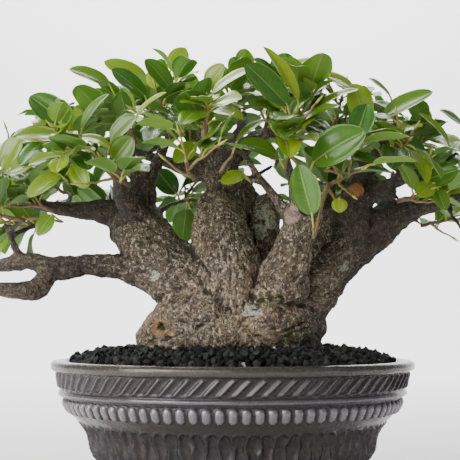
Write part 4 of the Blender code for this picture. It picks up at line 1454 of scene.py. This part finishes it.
def twig_material(settings):
    material, tree, shader = new_material("green_twig", 0.55)
    made = mottle(tree, place_of(tree), 330.0, 0.2, settings.twig, shade_of(settings.twig, 1.9))
    green = ramp(tree, value_of(tree, "tone"), 0.2, 0.8)
    tint = mix(tree, green, made.outputs["Color"], settings.stalk)
    tree.links.new(tint, shader.inputs["Base Color"])
    bump(tree, shader, made.outputs["Fine"], 0.1 * MM, 0.5)
    return material


class BONSAI_OT_shoots(bpy.types.Operator):
    """Grow the leafy shoots of the crown"""
    bl_idname = "bonsai.shoots"
    bl_label = "Grow Shoots"

    def execute(self, context):
        settings = context.scene.bonsai_leaves
        crown = Crown(tree_of(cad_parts["trunk"].data), settings)
        finishes = [leaf_material(settings), twig_material(settings)]
        starts = shoot_starts(settings)
        clusters = {name: (Cluster(), []) for name in SHOOTS}
        chance = random.Random(3)
        for row in SET_LEAVES:
            gaps = [(Vector(row[0]) * MM - start).length for start, _ in starts]
            cluster, stalks = clusters[SHOOTS[gaps.index(min(gaps))]]
            stalks.append(place_set_leaf(cluster, crown, row, chance))
        for name, (start, grow) in zip(SHOOTS, starts):
            chance = random.Random(name)
            cluster, stalks = clusters[name]
            twigs = []
            grow_twig(cluster, crown, start - grow * 1.5 * MM, grow,
                      chance.uniform(*TWIG_LENGTHS) * MM, TWIG_LEAVES, TWIG_RADIUS, chance, 0, twigs)
            for root, back in stalks:
                join_stalk(cluster, crown, root, back, twigs)
            mesh = cluster.mesh(name + "_leaves")
            for finish in finishes:
                mesh.materials.append(finish)
            shoot = add_object(name + "_leaves", mesh)
            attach(shoot, "root")
            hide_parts(name)
        return {"FINISHED"}


# ---------------------------------------------------------------- stage

CROWN_MIDDLE = (0.0, 0.0, 0.16)
WALL_MIDDLE = (0.0, 2.3, 0.5)
# Each lamp: its place, what it faces, its size and its colour.
LAMPS = {
    "key": ((-0.95, -0.75, 0.50), CROWN_MIDDLE, (0.7, 0.9), (1.0, 0.98, 0.95)),
    "front": ((-0.45, -1.25, 0.55), CROWN_MIDDLE, (0.7, 0.5), (1.0, 1.0, 1.0)),
    "back": ((-0.30, 0.45, 0.95), CROWN_MIDDLE, (1.0, 0.7), (1.0, 0.99, 0.96)),
    "wall": ((0.0, 1.2, 1.7), WALL_MIDDLE, (2.4, 0.6), (1.0, 1.0, 1.0)),
    "fill": ((0.9, -0.6, 0.35), CROWN_MIDDLE, (0.8, 0.8), (0.95, 0.97, 1.0)),
}
# The camera stands in front, a little over the rim, and looks up slightly.
CAMERA_PLACE = (-0.0015, -0.656, 0.1037)
CAMERA_TILT = 94.53
LENS_MM = 87.45
SENSOR_MM = 36.0
# The floor and backdrop: half width, front edge, where the bend starts, its radius and the top.
SWEEP_HALF, SWEEP_FRONT, SWEEP_BEND, SWEEP_RADIUS, SWEEP_TOP = 4.0, -4.0, 1.6, 0.8, 3.5


def add_light(name, place, target, size, tint, energy):
    data = bpy.data.lights.new(name, "AREA")
    data.shape = "RECTANGLE"
    data.size, data.size_y = size
    data.energy = energy
    data.color = tint
    item = add_object(name, data)
    item.visible_camera = False
    item.location = place
    item.rotation_euler = (Vector(target) - Vector(place)).to_track_quat("-Z", "Y").to_euler()


def paper_material(settings):
    material, tree, shader = new_material("pale_paper", 0.9)
    made = mottle(tree, place_of(tree), 3.0, 0.4, shade_of(settings.paper, 0.985), settings.paper)
    tree.links.new(made.outputs["Color"], shader.inputs["Base Color"])
    return material


def sweep_mesh():
    """A floor that curves up into a backdrop."""
    rows = [(SWEEP_FRONT, 0.0), (-1.0, 0.0), (SWEEP_BEND, 0.0)]
    for step in range(1, 10):
        turn = math.radians(10 * step)
        rows.append((SWEEP_BEND + SWEEP_RADIUS * math.sin(turn),
                     SWEEP_RADIUS - SWEEP_RADIUS * math.cos(turn)))
    rows.append((SWEEP_BEND + SWEEP_RADIUS, SWEEP_TOP))
    columns = (-SWEEP_HALF, -1.3, 1.3, SWEEP_HALF)
    points = [(x, y, z) for y, z in rows for x in columns]
    return mesh_from("studio_sweep", points, grid_faces(len(rows), 4, False))


class BONSAI_OT_stage(bpy.types.Operator):
    """Set up the floor, the soft lights and the camera"""
    bl_idname = "bonsai.stage"
    bl_label = "Set Stage"

    def execute(self, context):
        settings = context.scene.bonsai_stage
        mesh = sweep_mesh()
        mesh.shade_smooth()
        mesh.materials.append(paper_material(settings))
        floor = add_object("studio_sweep", mesh)
        for name, (place, target, size, tint) in LAMPS.items():
            add_light(name, place, target, size, tint, getattr(settings, name))
        world = bpy.data.worlds.new("soft_sky")
        world.use_nodes = True
        sky = world.node_tree.nodes["Background"]
        sky.inputs["Color"].default_value = (0.93, 0.96, 1.0, 1.0)
        sky.inputs["Strength"].default_value = settings.sky
        context.scene.world = world
        lens = bpy.data.cameras.new("camera")
        lens.lens = LENS_MM
        lens.sensor_width = SENSOR_MM
        lens.clip_start = 0.02
        camera = add_object("camera", lens)
        camera.location = CAMERA_PLACE
        camera.rotation_euler = (math.radians(CAMERA_TILT), 0.0, 0.0)
        context.scene.camera = camera
        return {"FINISHED"}


# ---------------------------------------------------------------- panel

OPERATORS = (BONSAI_OT_pot, BONSAI_OT_drainage, BONSAI_OT_soil, BONSAI_OT_wood, BONSAI_OT_shoots,
             BONSAI_OT_stage)
SETTINGS = (("bonsai_pot", PotSettings), ("bonsai_soil", SoilSettings),
            ("bonsai_wood", WoodSettings), ("bonsai_leaves", LeafSettings),
            ("bonsai_stage", StageSettings))


class BONSAI_PT_panel(bpy.types.Panel):
    """Lists the steps that build the bonsai"""
    bl_idname = "BONSAI_PT_panel"
    bl_label = "Potted Bonsai"
    bl_space_type = "VIEW_3D"
    bl_region_type = "UI"
    bl_category = "Bonsai"

    def draw(self, context):
        for operator in OPERATORS:
            self.layout.operator(operator.bl_idname)
        for name, kind in SETTINGS:
            group = getattr(context.scene, name)
            for key in kind.__annotations__:
                self.layout.prop(group, key)


def register():
    for name, kind in SETTINGS:
        bpy.utils.register_class(kind)
        setattr(bpy.types.Scene, name, PointerProperty(type=kind))
    for operator in OPERATORS:
        bpy.utils.register_class(operator)
    bpy.utils.register_class(BONSAI_PT_panel)


def unregister():
    bpy.utils.unregister_class(BONSAI_PT_panel)
    for operator in reversed(OPERATORS):
        bpy.utils.unregister_class(operator)
    for name, kind in reversed(SETTINGS):
        delattr(bpy.types.Scene, name)
        bpy.utils.unregister_class(kind)


def main():
    register()
    bpy.ops.bonsai.stage()
    bpy.ops.bonsai.pot()
    bpy.ops.bonsai.drainage()
    bpy.ops.bonsai.soil()
    bpy.ops.bonsai.wood()
    bpy.ops.bonsai.shoots()


if __name__ == "__main__":
    main()
